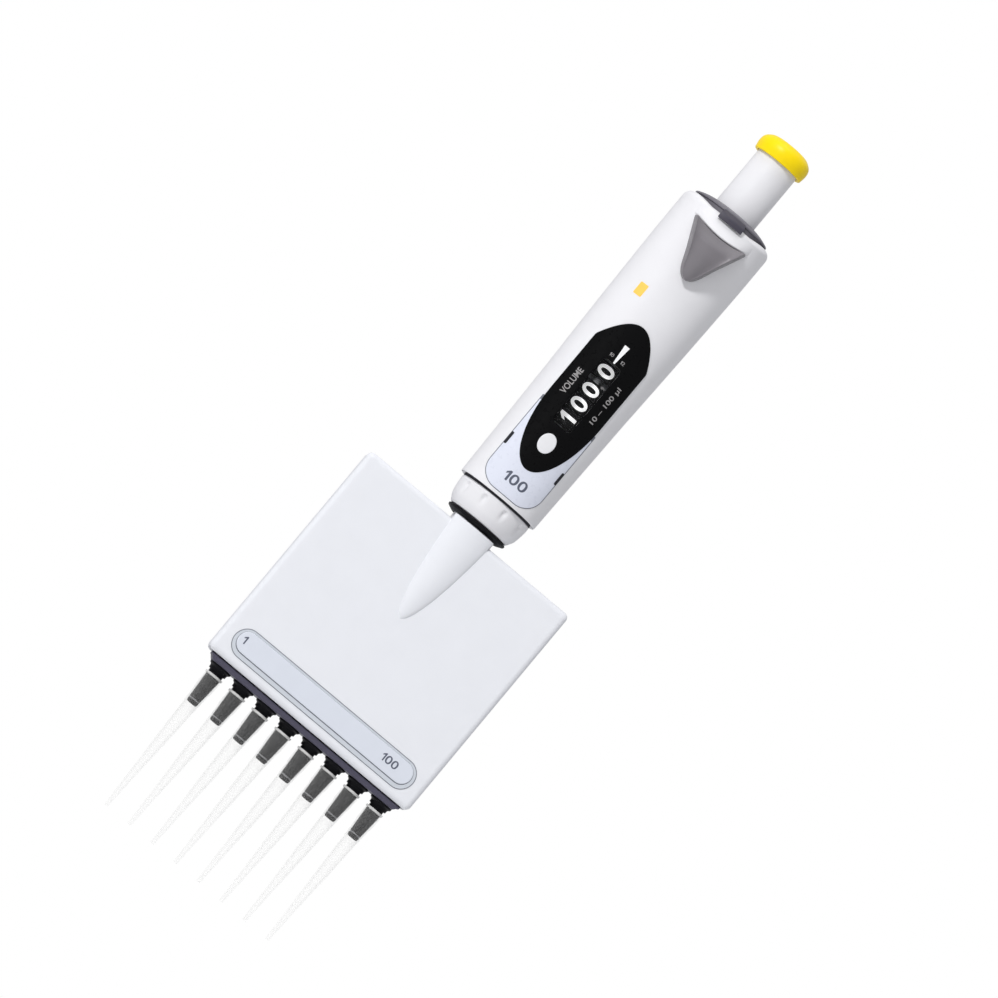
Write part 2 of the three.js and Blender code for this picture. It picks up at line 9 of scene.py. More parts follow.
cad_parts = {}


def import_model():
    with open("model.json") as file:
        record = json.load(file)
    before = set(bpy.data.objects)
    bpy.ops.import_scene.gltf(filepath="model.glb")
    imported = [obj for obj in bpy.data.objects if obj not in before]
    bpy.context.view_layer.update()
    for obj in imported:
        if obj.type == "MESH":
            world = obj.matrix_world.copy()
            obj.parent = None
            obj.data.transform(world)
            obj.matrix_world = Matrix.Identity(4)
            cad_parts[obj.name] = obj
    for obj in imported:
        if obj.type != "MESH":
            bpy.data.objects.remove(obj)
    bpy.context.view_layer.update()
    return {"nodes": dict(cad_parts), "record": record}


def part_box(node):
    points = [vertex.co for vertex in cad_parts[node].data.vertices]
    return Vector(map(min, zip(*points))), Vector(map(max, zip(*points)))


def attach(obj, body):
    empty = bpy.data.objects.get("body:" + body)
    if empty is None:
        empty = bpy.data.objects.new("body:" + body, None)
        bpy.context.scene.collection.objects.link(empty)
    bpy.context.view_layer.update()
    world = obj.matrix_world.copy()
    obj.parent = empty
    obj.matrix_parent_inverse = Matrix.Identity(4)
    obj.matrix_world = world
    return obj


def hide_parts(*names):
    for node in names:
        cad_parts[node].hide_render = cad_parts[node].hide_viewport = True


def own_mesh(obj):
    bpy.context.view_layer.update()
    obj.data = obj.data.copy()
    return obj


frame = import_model()
MM = 0.001


def extent(node):
    """The lowest and highest corner of a CAD node, in millimetres."""
    low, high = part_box(node)
    return low / MM, high / MM

def cosine(degrees):
    return math.cos(math.radians(degrees))


def sine(degrees):
    return math.sin(math.radians(degrees))


def placed(name, data):
    """A new object in the scene."""
    made = bpy.data.objects.new(name, data)
    bpy.context.scene.collection.objects.link(made)
    return made


# ---- camera
FIELD = 300.9  # width of the view at the object
DISTANCE = 3000
SENSOR_WIDTH = 36
AZIMUTH, ELEVATION, TILT = -2.1, -4.4, 39.85  # degrees
HANDLE_LOW, HANDLE_HIGH = extent("handle_rear_shell")
AIM = Vector((0.2, 0, HANDLE_LOW.z + 0.5))


def make_camera():
    data = bpy.data.cameras.new("camera")
    data.sensor_width = SENSOR_WIDTH
    data.lens = SENSOR_WIDTH * DISTANCE / FIELD
    data.clip_start, data.clip_end = 0.05, 20
    camera = placed("camera", data)
    level = Vector((sine(AZIMUTH), -cosine(AZIMUTH), 0))
    back = level * cosine(ELEVATION) + Vector((0, 0, sine(ELEVATION)))
    camera.location = (AIM + back * DISTANCE) * MM
    camera.rotation_mode = "QUATERNION"
    upright = (-back).to_track_quat("-Z", "Y")
    camera.rotation_quaternion = upright @ Matrix.Rotation(math.radians(TILT), 4, "Z").to_quaternion()
    bpy.context.scene.camera = camera


make_camera()


def set_inputs(node, values):
    for key, value in values.items():
        node.inputs[key].default_value = value


def new_node(tree, kind, values=None, **choices):
    """A shader node. Its choices come before its inputs, because they decide which inputs it has."""
    made = tree.nodes.new(kind)
    for key, value in choices.items():
        setattr(made, key, value)
    set_inputs(made, values or {})
    return made


def link(source, output, target, socket):
    source.id_data.links.new(source.outputs[output], target.inputs[socket])


def shader(name, colour, roughness, metallic=0.0, specular=0.5):
    made = bpy.data.materials.new(name)
    made.use_nodes = True
    principled = made.node_tree.nodes["Principled BSDF"]
    set_inputs(principled, {
        "Base Color": (*colour, 1),
        "Roughness": roughness,
        "Metallic": metallic,
        "Specular IOR Level": specular,
    })
    return made, made.node_tree, principled


def noise(tree, scale, detail=3.0, stretch=(1, 1, 1)):
    """A noise pattern fixed to the piece; scale is in patterns per metre."""
    place = new_node(tree, "ShaderNodeTexCoord")
    mapping = new_node(tree, "ShaderNodeMapping", {"Scale": stretch})
    pattern = new_node(tree, "ShaderNodeTexNoise", {"Scale": scale, "Detail": detail})
    link(place, "Object", mapping, "Vector")
    link(mapping, "Vector", pattern, "Vector")
    return pattern


def vary_colour(tree, principled, colour, amount, scale, stretch=(1, 1, 1)):
    darker = (*[c * (1 - amount) for c in colour], 1)
    lighter = (*[min(c * (1 + amount), 1) for c in colour], 1)
    mix = new_node(tree, "ShaderNodeMix", data_type="RGBA")
    set_inputs(mix, {"A": darker, "B": lighter})
    link(noise(tree, scale, stretch=stretch), "Fac", mix, "Factor")
    link(mix, "Result", principled, "Base Color")


def vary_roughness(tree, principled, low, high, scale, stretch=(1, 1, 1)):
    middle = {"From Min": 0.3, "From Max": 0.7}  # where most of the noise lies
    spread = new_node(tree, "ShaderNodeMapRange", {**middle, "To Min": low, "To Max": high})
    link(noise(tree, scale, stretch=stretch), "Fac", spread, "Value")
    link(spread, "Result", principled, "Roughness")


def add_grain(tree, principled, scale, height, stretch=(1, 1, 1)):
    """Fine surface texture; height is in millimetres."""
    bump = new_node(tree, "ShaderNodeBump", {"Strength": 0.6, "Distance": height * MM})
    link(noise(tree, scale, detail=2.0, stretch=stretch), "Fac", bump, "Height")
    link(bump, "Normal", principled, "Normal")


def moulded(name, colour, roughness, grain=0.012, specular=0.45, mottle=0.02):
    """Injection-moulded plastic: faint mottling, uneven gloss and a fine spark-eroded grain."""
    made, tree, principled = shader(name, colour, roughness, specular=specular)
    vary_colour(tree, principled, colour, mottle, 140)
    vary_roughness(tree, principled, roughness - 0.05, roughness + 0.05, 700)
    add_grain(tree, principled, 4500, grain)
    return made


def drawn_metal(name, colour, roughness):
    """Drawn or turned metal with fine lines round the Z axis."""
    along = (1, 1, 12)
    made, tree, principled = shader(name, colour, roughness, metallic=1.0)
    vary_colour(tree, principled, colour, 0.08, 900, along)
    vary_roughness(tree, principled, roughness - 0.08, roughness + 0.1, 1500, along)
    add_grain(tree, principled, 3000, 0.006, along)
    return made


def see_through(name, colour, roughness, facing_alpha, edge_alpha, grain=0.004):
    """Clear or frosted plastic, denser where it is seen edge-on."""
    made, tree, principled = shader(name, colour, roughness, specular=0.6)
    vary_colour(tree, principled, colour, 0.015, 300)
    vary_roughness(tree, principled, roughness - 0.04, roughness + 0.04, 900)
    add_grain(tree, principled, 2500, grain)
    weight = new_node(tree, "ShaderNodeLayerWeight", {"Blend": 0.35})
    spread = new_node(tree, "ShaderNodeMapRange", {"To Min": facing_alpha, "To Max": edge_alpha})
    link(weight, "Facing", spread, "Value")
    link(spread, "Result", principled, "Alpha")
    return made
WHITE = moulded("white_plastic", (0.79, 0.785, 0.805), 0.4, specular=0.35)
MODULE_WHITE = moulded("module_white", (0.79, 0.8, 0.835), 0.5, grain=0.018, specular=0.35)
YELLOW = moulded("yellow_plastic", (0.97, 0.71, 0.0), 0.38, mottle=0.01, specular=0.25)
DOME_GREY = moulded("dome_grey", (0.155, 0.147, 0.17), 0.42, specular=0.3)
# The lock tab is the dome's grey plastic painted darker: painted shade.
TAB_PAINTED_SHADE_GREY = moulded("tab_grey_painted_shade", (0.06, 0.056, 0.075), 0.45, specular=0.3)
TRIGGER_GREY = moulded("trigger_grey", (0.19, 0.178, 0.192), 0.4, grain=0.008, specular=0.35)
BLACK = moulded("black_panel", (0.003, 0.003, 0.0033), 0.3, grain=0.002, specular=0.09)
DRUM_BLACK = moulded("drum_black", (0.006, 0.0055, 0.006), 0.5, specular=0.1)
INK_WHITE = moulded("white_ink", (0.9, 0.9, 0.9), 0.6, grain=0.002)
INK_DIM = moulded("dim_ink", (0.3, 0.29, 0.29), 0.6, grain=0.002)
GLOWING_DRUM_INK = moulded("drum_ink_painted_glow", (0.95, 0.95, 0.95), 0.6, grain=0.002)
# The digits glow a little, as painted light, because the window shades them.
set_inputs(GLOWING_DRUM_INK.node_tree.nodes["Principled BSDF"], {"Emission Strength": 0.4})
INK_GREY = moulded("grey_ink", (0.09, 0.1, 0.14), 0.6, grain=0.002)
PLATE_BLUE = moulded("plate_blue", (0.71, 0.735, 0.83), 0.3, grain=0.003)
LABEL_BLUE = moulded("label_blue", (0.69, 0.72, 0.79), 0.34, grain=0.003)
SILVER = moulded("silver_paint", (0.78, 0.78, 0.8), 0.38, grain=0.006)
CONE_GREY = moulded("cone_grey", (0.014, 0.014, 0.015), 0.42, specular=0.12)
FLANGE_BLACK = moulded("flange_black", (0.004, 0.004, 0.0055), 0.45, specular=0.12)
STRIP_GREY = moulded("strip_grey", (0.07, 0.066, 0.098), 0.45, specular=0.3)
SEAL = moulded("seal_rubber", (0.25, 0.25, 0.26), 0.6)
# Painted shade: a dark colour for gaps and notches where shade falls.
GAP_DARK = moulded("gap_shadow", (0.025, 0.025, 0.03), 0.7, specular=0.2)
MARK_YELLOW = moulded("mark_yellow", (1.0, 0.6, 0.1), 0.5, grain=0.003)
STEEL = drawn_metal("drawn_steel", (0.62, 0.63, 0.65), 0.3)
LENS = see_through("clear_lens", (0.3, 0.31, 0.32), 0.12, 0.015, 0.12)
TIP_CLEAR = see_through("tip_polypropylene", (0.84, 0.835, 0.82), 0.3, 0.045, 0.2, grain=0.001)
LINE_GREY = moulded("line_grey", (0.16, 0.17, 0.2), 0.6)
LABEL_SHADE = moulded("label_shade", (0.6, 0.63, 0.68), 0.4)
CONE_BLACK_FROM = -181.4  # a cone is darker above its tip


# ---- mesh tools
def finished(bm, name, body, material, stands_for=(), sharp=40, weighted=False):
    """Turns a bmesh in millimetres into a piece that rides on a body."""
    bmesh.ops.remove_doubles(bm, verts=bm.verts, dist=1e-4)
    bmesh.ops.recalc_face_normals(bm, faces=bm.faces)
    bmesh.ops.scale(bm, vec=(MM, MM, MM), verts=bm.verts)
    mesh = bpy.data.meshes.new(name)
    bm.to_mesh(mesh)
    bm.free()
    mesh.polygons.foreach_set("use_smooth", [True] * len(mesh.polygons))
    mesh.set_sharp_from_angle(angle=math.radians(sharp))
    mesh.materials.append(material)
    piece = placed(name, mesh)
    if weighted:
        normals = piece.modifiers.new("normals", "WEIGHTED_NORMAL")
        normals.keep_sharp = True
    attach(piece, body)
    if stands_for:
        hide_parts(*stands_for)
    return piece


def add_wall(piece, thickness):
    """Gives a skin a wall on its inner side."""
    wall = piece.modifiers.new("wall", "SOLIDIFY")
    wall.thickness = thickness * MM
    wall.offset = -1

def add_grid(bm, rows, round_rows=False, round_columns=False):
    """Joins rows of points with quads. Each row has the same number of points."""
    made = [[bm.verts.new(point) for point in row] for row in rows]
    for i in range(len(rows) - (0 if round_rows else 1)):
        upper, lower = made[i], made[(i + 1) % len(rows)]
        for j in range(len(upper) - (0 if round_columns else 1)):
            k = (j + 1) % len(upper)
            bm.faces.new((upper[j], upper[k], lower[k], lower[j]))
    return made

def loft(rows):
    """A solid through rows of points. Each row is a ring, and the first and last are closed by a face."""
    bm = bmesh.new()
    made = add_grid(bm, rows, round_columns=True)
    bm.faces.new(made[0])
    bm.faces.new(made[-1])
    return bm


def block(bm, low, high):
    """Adds a box between two corners, and returns its vertices."""
    made = bmesh.ops.create_cube(bm, size=1)["verts"]
    for vert in made:
        vert.co = Vector(low[k] + (vert.co[k] + 0.5) * (high[k] - low[k]) for k in range(3))
    return made


def rounded(points, radius, steps=5):
    """A polyline with its inner corners rounded. A point may give its own radius as a third value."""
    made = [tuple(points[0][:2])]
    for before, corner, after in zip(points, points[1:], points[2:]):
        here = Vector(corner[:2])
        size = corner[2] if len(corner) > 2 else radius
        back, on = Vector(before[:2]) - here, Vector(after[:2]) - here
        size = min(size, back.length * 0.49, on.length * 0.49)
        start, end = here + back.normalized() * size, here + on.normalized() * size
        for step in range(steps + 1):
            t = step / steps
            made.append(tuple(start * (1 - t) ** 2 + here * 2 * t * (1 - t) + end * t**2))
    made.append(tuple(points[-1][:2]))
    return made

def turn(bm, profile, segments=96, arc=(0, 360), closed=False, centre=(0, 0)):
    """Turns a [radius, z] profile about a vertical axis."""
    full = arc[1] - arc[0] >= 360
    columns = []
    for i in range(segments if full else segments + 1):
        angle = arc[0] + (arc[1] - arc[0]) * i / segments
        columns.append([(centre[0] + r * cosine(angle), centre[1] + r * sine(angle), z) for r, z in profile])
    made = add_grid(bm, columns, round_rows=full, round_columns=closed)
    if not full and closed:
        bm.faces.new(made[0])
        bm.faces.new(made[-1])


def divided(a, b, count):
    """Evenly spaced points from a towards b, without b itself."""
    return [(a[0] + (b[0] - a[0]) * k / count, a[1] + (b[1] - a[1]) * k / count) for k in range(count)]


def closed_profile(profile, radius, step=None):
    """A closed profile with rounded corners, and points no further apart than a step if one is given."""
    start = ((profile[0][0] + profile[-1][0]) / 2, (profile[0][1] + profile[-1][1]) / 2)
    points = rounded([start, *profile, start], radius)[:-1]
    if step is None:
        return points
    made = []
    for a, b in zip(points, [*points[1:], points[0]]):
        made += divided(a, b, max(1, math.ceil(math.dist(a, b) / step)))
    return made


def turned(name, body, material, profile, radius=0.3, segments=96, closed=True, arc=(0, 360), centre=(0, 0),
           **more):
    """A piece turned about a vertical axis, with its profile's corners rounded."""
    outline = closed_profile(profile, radius) if closed else rounded(profile, radius)
    bm = bmesh.new()
    turn(bm, outline, segments, arc, closed, centre)
    finished(bm, name, body, material, weighted=True, **more)


# ---- outlines and pads
def arc_points(cx, cz, rx, rz, start, end, count=12):
    angles = [start + (end - start) * i / count for i in range(count + 1)]
    return [(cx + rx * cosine(a), cz + rz * sine(a)) for a in angles]


def edge_curve(edge, angles=range(0, 91, 18)):
    """Steps round a rounded edge: how far in from the side, and how far up."""
    return [(edge * (1 - cosine(a)), edge * sine(a)) for a in angles]


def ray_length(outline, centre, along):
    """How far a ray from a centre runs to the outline."""
    across = Vector((-along.y, along.x))
    best = 0
    for a, b in zip(outline, [*outline[1:], outline[0]]):
        a, b = Vector(a) - Vector(centre), Vector(b) - Vector(centre)
        sa, sb = a.dot(across), b.dot(across)
        if (sa <= 0 < sb) or (sb <= 0 < sa):
            best = max(best, (a + (b - a) * (sa / (sa - sb))).dot(along))
    return best


def ray_outline(outline, centre, count):
    """An outline resampled where rays at even angles from its centre meet it."""
    made = []
    for i in range(count):
        angle = 2 * math.pi * i / count
        along = Vector((math.cos(angle), math.sin(angle)))
        made.append(tuple(Vector(centre) + along * ray_length(outline, centre, along)))
    return made


def grown(outline, distance):
    """A closed outline, listed anticlockwise, moved outward by a distance."""
    size = len(outline)
    made = []
    for i in range(size):
        before, here, after = (Vector(outline[(i + k) % size]) for k in (-1, 0, 1))
        along = (after - before).normalized()
        made.append(tuple(here + Vector((along.y, -along.x)) * distance))
    return made

def pad(name, body, material, outline, surface, height, depth, edge=0.2, hole=None, centre=None,
        count=240, loops=14, **more):
    """A thin solid that follows surface(x, z, out). It has a rounded edge, and a hole if one is given."""
    if centre is None:
        centre = (sum(p[0] for p in outline) / len(outline), sum(p[1] for p in outline) / len(outline))
    outer = ray_outline(outline, centre, count)
    steps = [(0, -depth)] + [(inset, height - edge + up) for inset, up in edge_curve(edge)]
    rows = [[surface(x, z, out) for x, z in grown(outer, -inset)] for inset, out in steps]
    top = grown(outer, -edge)
    if hole:
        inner = ray_outline(hole, centre, count)
        brink = grown(inner, edge)
    else:
        inner = brink = [centre] * count
    for k in range(1, loops + 1):
        t = k / loops
        rows.append([
            surface(x + (bx - x) * t, z + (bz - z) * t, height) for (x, z), (bx, bz) in zip(top, brink)
        ])
    bm = bmesh.new()
    if hole:
        rows += [[surface(x, z, out) for x, z in grown(inner, inset)] for inset, out in reversed(steps[:-1])]
        add_grid(bm, rows, round_rows=True, round_columns=True)
    else:
        made = add_grid(bm, rows, round_columns=True)
        bm.faces.new(made[0])
    finished(bm, name, body, material, weighted=True, **more)


def crescent(name, body, material, outline, inner, start, surface, height, depth, edge, **more):
    """A thin plate between an inner curve and an outline, over the lower part of a circle of rays."""
    rays = 200
    columns = []
    for i in range(rays + 1):
        angle = 180 + start + (180 - 2 * start) * i / rays
        along = Vector((cosine(angle), sine(angle)))
        far = ray_length(outline, (0, BEZEL_TAPER), along)
        near = inner(angle)
        column = [(far, -depth)]
        column += [(far - inset, height - edge + up) for inset, up in edge_curve(edge)]
        column += [(far - edge + (near - far + edge) * k / 10, height) for k in range(1, 11)]
        column.append((near, -depth))
        columns.append([surface(along.x * r, BEZEL_TAPER + along.y * r, out) for r, out in column])
    finished(loft(columns), name, body, material, weighted=True, **more)


# ---- lettering
def filled(curve):
    """The surface of a curve or a text as a bmesh. The curve itself is removed."""
    holder = placed("curve", curve)
    evaluated = holder.evaluated_get(bpy.context.evaluated_depsgraph_get())
    mesh = bpy.data.meshes.new_from_object(evaluated)
    bm = bmesh.new()
    bm.from_mesh(mesh)
    bpy.data.objects.remove(holder)
    bpy.data.curves.remove(curve)
    bpy.data.meshes.remove(mesh)
    return bm


def flat_face(outline):
    bm = bmesh.new()
    bm.faces.new([bm.verts.new((u, v, 0)) for u, v in outline])
    return bm


def spans(bm):
    """The lowest and highest x of a flat shape, and the lowest and highest y."""
    return [(min(v.co[k] for v in bm.verts), max(v.co[k] for v in bm.verts)) for k in (0, 1)]


def flat_glyphs(text, size, weight):
    """The outlines of a text as flat faces, centred on the origin."""
    curve = bpy.data.curves.new("glyphs", "FONT")
    curve.body, curve.size, curve.offset = text, size, weight
    curve.align_x, curve.align_y = "CENTER", "CENTER"
    curve.resolution_u = 6
    bm = filled(curve)
    (left, right), (bottom, top) = spans(bm)
    middle = Vector(((left + right) / 2, (bottom + top) / 2, 0))
    bmesh.ops.translate(bm, vec=-middle, verts=bm.verts)
    return bm


def numeral_one(width, height, stroke):
    """A one with a flag, as a flat face centred on the origin."""
    left, right, top = -width / 2, width / 2, height / 2
    flag = top - 0.26 * height  # where the flag meets the stem
    return flat_face([
        (right - stroke, -top),
        (right, -top),
        (right, top),
        (right - 0.8 * stroke, top),
        (left, flag),
        (left, flag - stroke * 0.95),
        (right - stroke, flag),
    ])

def numerals(text, width, height, stroke, gap=0.0):
    """A row of digits, each as wide as given except the one, which is narrower."""
    whole = bmesh.new()
    widths = [width * (0.55 if digit == "1" else 1) for digit in text]
    start = -(sum(widths) + gap * (len(text) - 1)) / 2
    for digit, wide in zip(text, widths):
        if digit == "1":
            glyph = numeral_one(wide, height, stroke)
        else:
            glyph = flat_glyphs(digit, 4, stroke * 0.08)
            sized(glyph, wide, height)
        bmesh.ops.translate(glyph, vec=(start + wide / 2, 0, 0), verts=glyph.verts)
        merge(whole, glyph)
        start += wide + gap
    return whole
def sized(bm, width, height):
    """Scales flat glyphs to a width and a height."""
    (left, right), (bottom, top) = spans(bm)
    bmesh.ops.scale(bm, vec=(width / (right - left), height / (top - bottom), 1), verts=bm.verts)


def printed(bm, place, rise=0.03, sink=0.1, step=0.35):
    """Cuts flat glyphs into bands, gives them thickness and lays them on a surface by place(u, v, out)."""
    for axis, normal in enumerate((Vector((1, 0, 0)), Vector((0, 1, 0)))):
        values = [v.co[axis] for v in bm.verts]
        cut = min(values) + step
        while cut < max(values):
            everything = bm.verts[:] + bm.edges[:] + bm.faces[:]
            bmesh.ops.bisect_plane(bm, geom=everything, plane_co=normal * cut, plane_no=normal)
            cut += step
    bottom = bm.verts[:]
    raised = bmesh.ops.extrude_face_region(bm, geom=bm.faces[:])["geom"]
    top = [part for part in raised if isinstance(part, bmesh.types.BMVert)]
    for verts, out in ((bottom, -sink), (top, rise)):
        for vert in verts:
            vert.co = Vector(place(vert.co.x, vert.co.y, out))
def merge(target, source):
    """Adds one bmesh to another and frees it."""
    mesh = bpy.data.meshes.new("part")
    source.to_mesh(mesh)
    source.free()
    target.from_mesh(mesh)
    bpy.data.meshes.remove(mesh)


# ---- handle
RIM = HANDLE_HIGH.z
BOTTOM = HANDLE_LOW.z
TOP_RADIUS = HANDLE_HIGH.x
WAIST_Z, WAIST_RADIUS, LOW_RADIUS = -44, 14.9, 14.15
STRAIGHT_FROM = 10  # the handle has one radius from here up
SHOULDER_ROUND = 2.6
SHOULDER = RIM - SHOULDER_ROUND
SQUARENESS = 2.2
WALL = 1.8
FOOT_ROUND = 0.35  # of the lower edge
SEAM, SEAM_WIDTH, SEAM_DEPTH = 0.55, 1.4, 0.22  # half the gap and the groove's width in degrees, and its depth
STEM_SLOT = (2.0, 0.6, 14.7)  # half-width, bottom, top
WINDOW_CUT = (6.0, -59.4, -31.8)
RIM_SCOOP = 1.3  # how much lower the rim is at the front
SCOOP_SINE = 0.87  # the rim is at its lowest where its angle's sine is at least this
RECESS_FLOOR = 21.9  # of the round recess that the lock ring sits in


def skin_radius(z):
    """The handle's radius at a height, a smooth curve through its top, waist and lower end."""
    if z > STRAIGHT_FROM:
        return TOP_RADIUS
    if z > WAIST_Z:
        t = (STRAIGHT_FROM - z) / (STRAIGHT_FROM - WAIST_Z)
        return TOP_RADIUS + (WAIST_RADIUS - TOP_RADIUS) * (0.35 * t * t + 0.65 * t)
    t = (WAIST_Z - z) / (WAIST_Z - BOTTOM)
    return WAIST_RADIUS + (LOW_RADIUS - WAIST_RADIUS) * t


def squared(radius, angle):
    """The distance from the axis to a slightly squared circle."""
    c, s = abs(cosine(angle)), abs(sine(angle))
    return radius / (c**SQUARENESS + s**SQUARENESS) ** (1 / SQUARENESS)


def on_handle(x, z, out):
    """The point on the handle's front at x and z, moved out from the surface."""
    radius = skin_radius(z) + out
    side = min(abs(x), radius * 0.999)
    return (x, -((radius**SQUARENESS - side**SQUARENESS) ** (1 / SQUARENESS)), z)


def shell_point(angle, z, drop):
    """The reach and height of a point outside. drop is how far the shoulder has turned in, 0 to 90 degrees."""
    if drop == 0:
        return squared(skin_radius(z), angle), z
    front = min(max(-sine(angle), 0) / SCOOP_SINE, 1)
    turned_in = sine(drop)
    inset = SHOULDER_ROUND * (1 - cosine(drop))
    height = SHOULDER + SHOULDER_ROUND * turned_in - RIM_SCOOP * front**3 * turned_in
    return squared(TOP_RADIUS, angle) - inset, height


def handle_shell(name, start, node):
    """Half of the handle, from one side seam to the other, as a shell with a real wall."""
    heights = [BOTTOM + FOOT_ROUND * (1 - cosine(a)) for a in (0, 45, 90)]
    z = BOTTOM + 0.6
    while z < SHOULDER:
        heights.append(z)
        z += 0.45
    rings = [(h, 0) for h in heights] + [(0, a) for a in range(6, 91, 6)]
    angles = [start + SEAM + (180 - 2 * SEAM) * i / 220 for i in range(221)]
    rows = []
    for height, drop in rings:
        row = []
        for angle in angles:
            reach, z = shell_point(angle, height, drop)
            foot = max(FOOT_ROUND - (z - BOTTOM), 0)
            reach -= 0.5 * foot**2 / FOOT_ROUND
            edge = min(abs(angle - start - SEAM), abs(angle - start - 180 + SEAM))
            reach -= SEAM_DEPTH * max(1 - edge / SEAM_WIDTH, 0) ** 2
            row.append((reach * cosine(angle), reach * sine(angle), z))
        rows.append(row)
    lid_radius = extent("plunger_shaft")[1].x + 0.45
    rim_row = rows[-1]
    for inset, lower in ((0.15, 0.1), (0.2, 0.5), (0.2, 1)):
        row = []
        for x, y, z in rim_row:
            share = 1 - inset / math.hypot(x, y)
            row.append((x * share, y * share, z + (RECESS_FLOOR - z) * lower))
        rows.append(row)
    lid = []
    for x, y, _ in rim_row:
        reach = math.hypot(x, y)
        lid.append((x * lid_radius / reach, y * lid_radius / reach, RECESS_FLOOR))
    rows.append(lid)
    bm = bmesh.new()
    add_grid(bm, rows)
    half_slot, slot_low, slot_high = STEM_SLOT
    half_window, window_low, window_high = WINDOW_CUT
    gone = []
    for face in bm.faces:
        c = face.calc_center_median()
        in_slot = abs(c.x) < half_slot and slot_low < c.z < slot_high
        in_window = abs(c.x) < half_window and window_low < c.z < window_high
        if c.y < -8 and (in_slot or in_window):
            gone.append(face)
    bmesh.ops.delete(bm, geom=gone, context="FACES")
    piece = finished(bm, name, "handle", WHITE, stands_for=[node])
    probe = piece.data.polygons[len(piece.data.polygons) // 3]
    if probe.normal.dot(probe.center) < 0:
        piece.data.flip_normals()
    add_wall(piece, WALL)


handle_shell("front_shell", -180, "handle_front_shell")
handle_shell("rear_shell", 0, "handle_rear_shell")

TRIGGER_TOP, TRIGGER_SAG, TRIGGER_HALF = 17.6, 1.6, 9.9
BROW = {"half": 10.4, "proud": 2.8, "top": 21.7, "lip": 0.45}


def trigger_edge(x):
    """The height of the trigger's sagging top edge."""
    return TRIGGER_TOP - TRIGGER_SAG * (1 - min(abs(x) / TRIGGER_HALF, 1) ** 2)


def brow():
    """The ledge over the trigger: it slopes out from the shoulder to a rounded lip."""
    columns = []
    for i in range(121):
        x = BROW["half"] * sine(-90 + 180 * i / 120)
        low = trigger_edge(x) + 0.3
        proud = BROW["proud"] * (1 - (abs(x) / BROW["half"]) ** 3)
        lip = min(BROW["lip"], proud * 0.5)

        def front(z, out, x=x):
            over = max(z - SHOULDER, 0) / SHOULDER_ROUND
            inset = SHOULDER_ROUND * (1 - math.sqrt(max(1 - over * over, 0)))
            level = min(z, STRAIGHT_FROM)
            return (x, on_handle(x, level, out + TOP_RADIUS - skin_radius(level) - inset)[1], z)

        column = [front(low, -1.2), front(low, proud * 0.5), front(low, proud - lip)]
        column += [front(low + inset, proud - lip + up) for inset, up in edge_curve(lip, (30, 60, 90))]
        for k in range(1, 21):
            s = k / 20
            z = low + lip + (BROW["top"] - low - lip) * s
            column.append(front(z, proud * (1 - s) ** 1.25 - 0.05 * s))
        column.append(front(BROW["top"], -1.2))
        columns.append(column)
    finished(loft(columns), "trigger_brow", "handle", WHITE)


brow()


def hook():
    """The finger hook behind the handle: a bar that leaves the shell and turns down at its end."""
    path = [  # y and z of the bar's middle, half its thickness, half its width
        (13.2, 5.6, 5.6, 9.5),
        (17, 4.3, 4.3, 8.6),
        (21, 3.3, 3.3, 8.1),
        (26, 2.9, 2.9, 8),
        (30.5, 2.7, 2.6, 8),
        (34, 1.6, 2.3, 8),
        (36.6, -1.2, 2.1, 7.9),
        (37.6, -5, 1.9, 7.6),
        (37.7, -7.6, 1.7, 7),
    ]
    around, power = 40, 2 / 3.6
    rows = []
    for i, (y, z, half, wide) in enumerate(path):
        before, after = path[max(i - 1, 0)], path[min(i + 1, len(path) - 1)]
        along = Vector((after[0] - before[0], after[1] - before[1])).normalized()
        normal = Vector((-along.y, along.x))
        row = []
        for k in range(around):
            angle = 2 * math.pi * k / around
            c, s = math.cos(angle), math.sin(angle)
            u = wide * math.copysign(abs(c) ** power, c)
            v = half * math.copysign(abs(s) ** power, s)
            row.append((u, y + normal.x * v, z + normal.y * v))
        rows.append(row)
    bm = bmesh.new()
    made = add_grid(bm, rows, round_columns=True)
    bm.faces.new(made[0])
    last, end_y = made[-1], path[-1][0]
    cap = [bm.verts.new((v.co.x * 0.86, v.co.y + (end_y - v.co.y) * 0.35, v.co.z - 0.9)) for v in last]
    for k in range(around):
        after = (k + 1) % around
        bm.faces.new((last[k], last[after], cap[after], cap[k]))
    bm.faces.new(cap)
    piece = finished(bm, "finger_hook", "handle", WHITE, sharp=60)
    smooth = piece.modifiers.new("smooth", "SUBSURF")
    smooth.levels = smooth.render_levels = 2


hook()

# ---- display
bezel_low, bezel_high = extent("display_bezel")
BEZEL_HALF = bezel_high.x
BEZEL_TOP, BEZEL_BOTTOM = bezel_high.z, bezel_low.z
BEZEL_SHOULDER, BEZEL_TAPER = -29.1, -50.2
BEZEL_HEIGHT = 0.4
BEZEL_COVERS = 0.985  # the plate reaches in under the display to this share of its edge


def bezel_outline():
    """A parabola on top, straight sides and half an ellipse beneath, anticlockwise from the lower left."""
    drop = BEZEL_TOP - BEZEL_SHOULDER
    crown = [(BEZEL_HALF * t, BEZEL_TOP - drop * t * t) for t in (1 - i / 15 for i in range(31))]
    foot = arc_points(0, BEZEL_TAPER, BEZEL_HALF, BEZEL_TAPER - BEZEL_BOTTOM, 180, 360, 40)
    return foot + crown


def box_outline(half, low, high, corner, top_corner=None, middle=0.0):
    top = corner if top_corner is None else top_corner
    return (
        arc_points(middle - half + corner, low + corner, corner, corner, 180, 270)
        + arc_points(middle + half - corner, low + corner, corner, corner, 270, 360)
        + arc_points(middle + half - top, high - top, top, top, 0, 90)
        + arc_points(middle - half + top, high - top, top, top, 90, 180)
    )


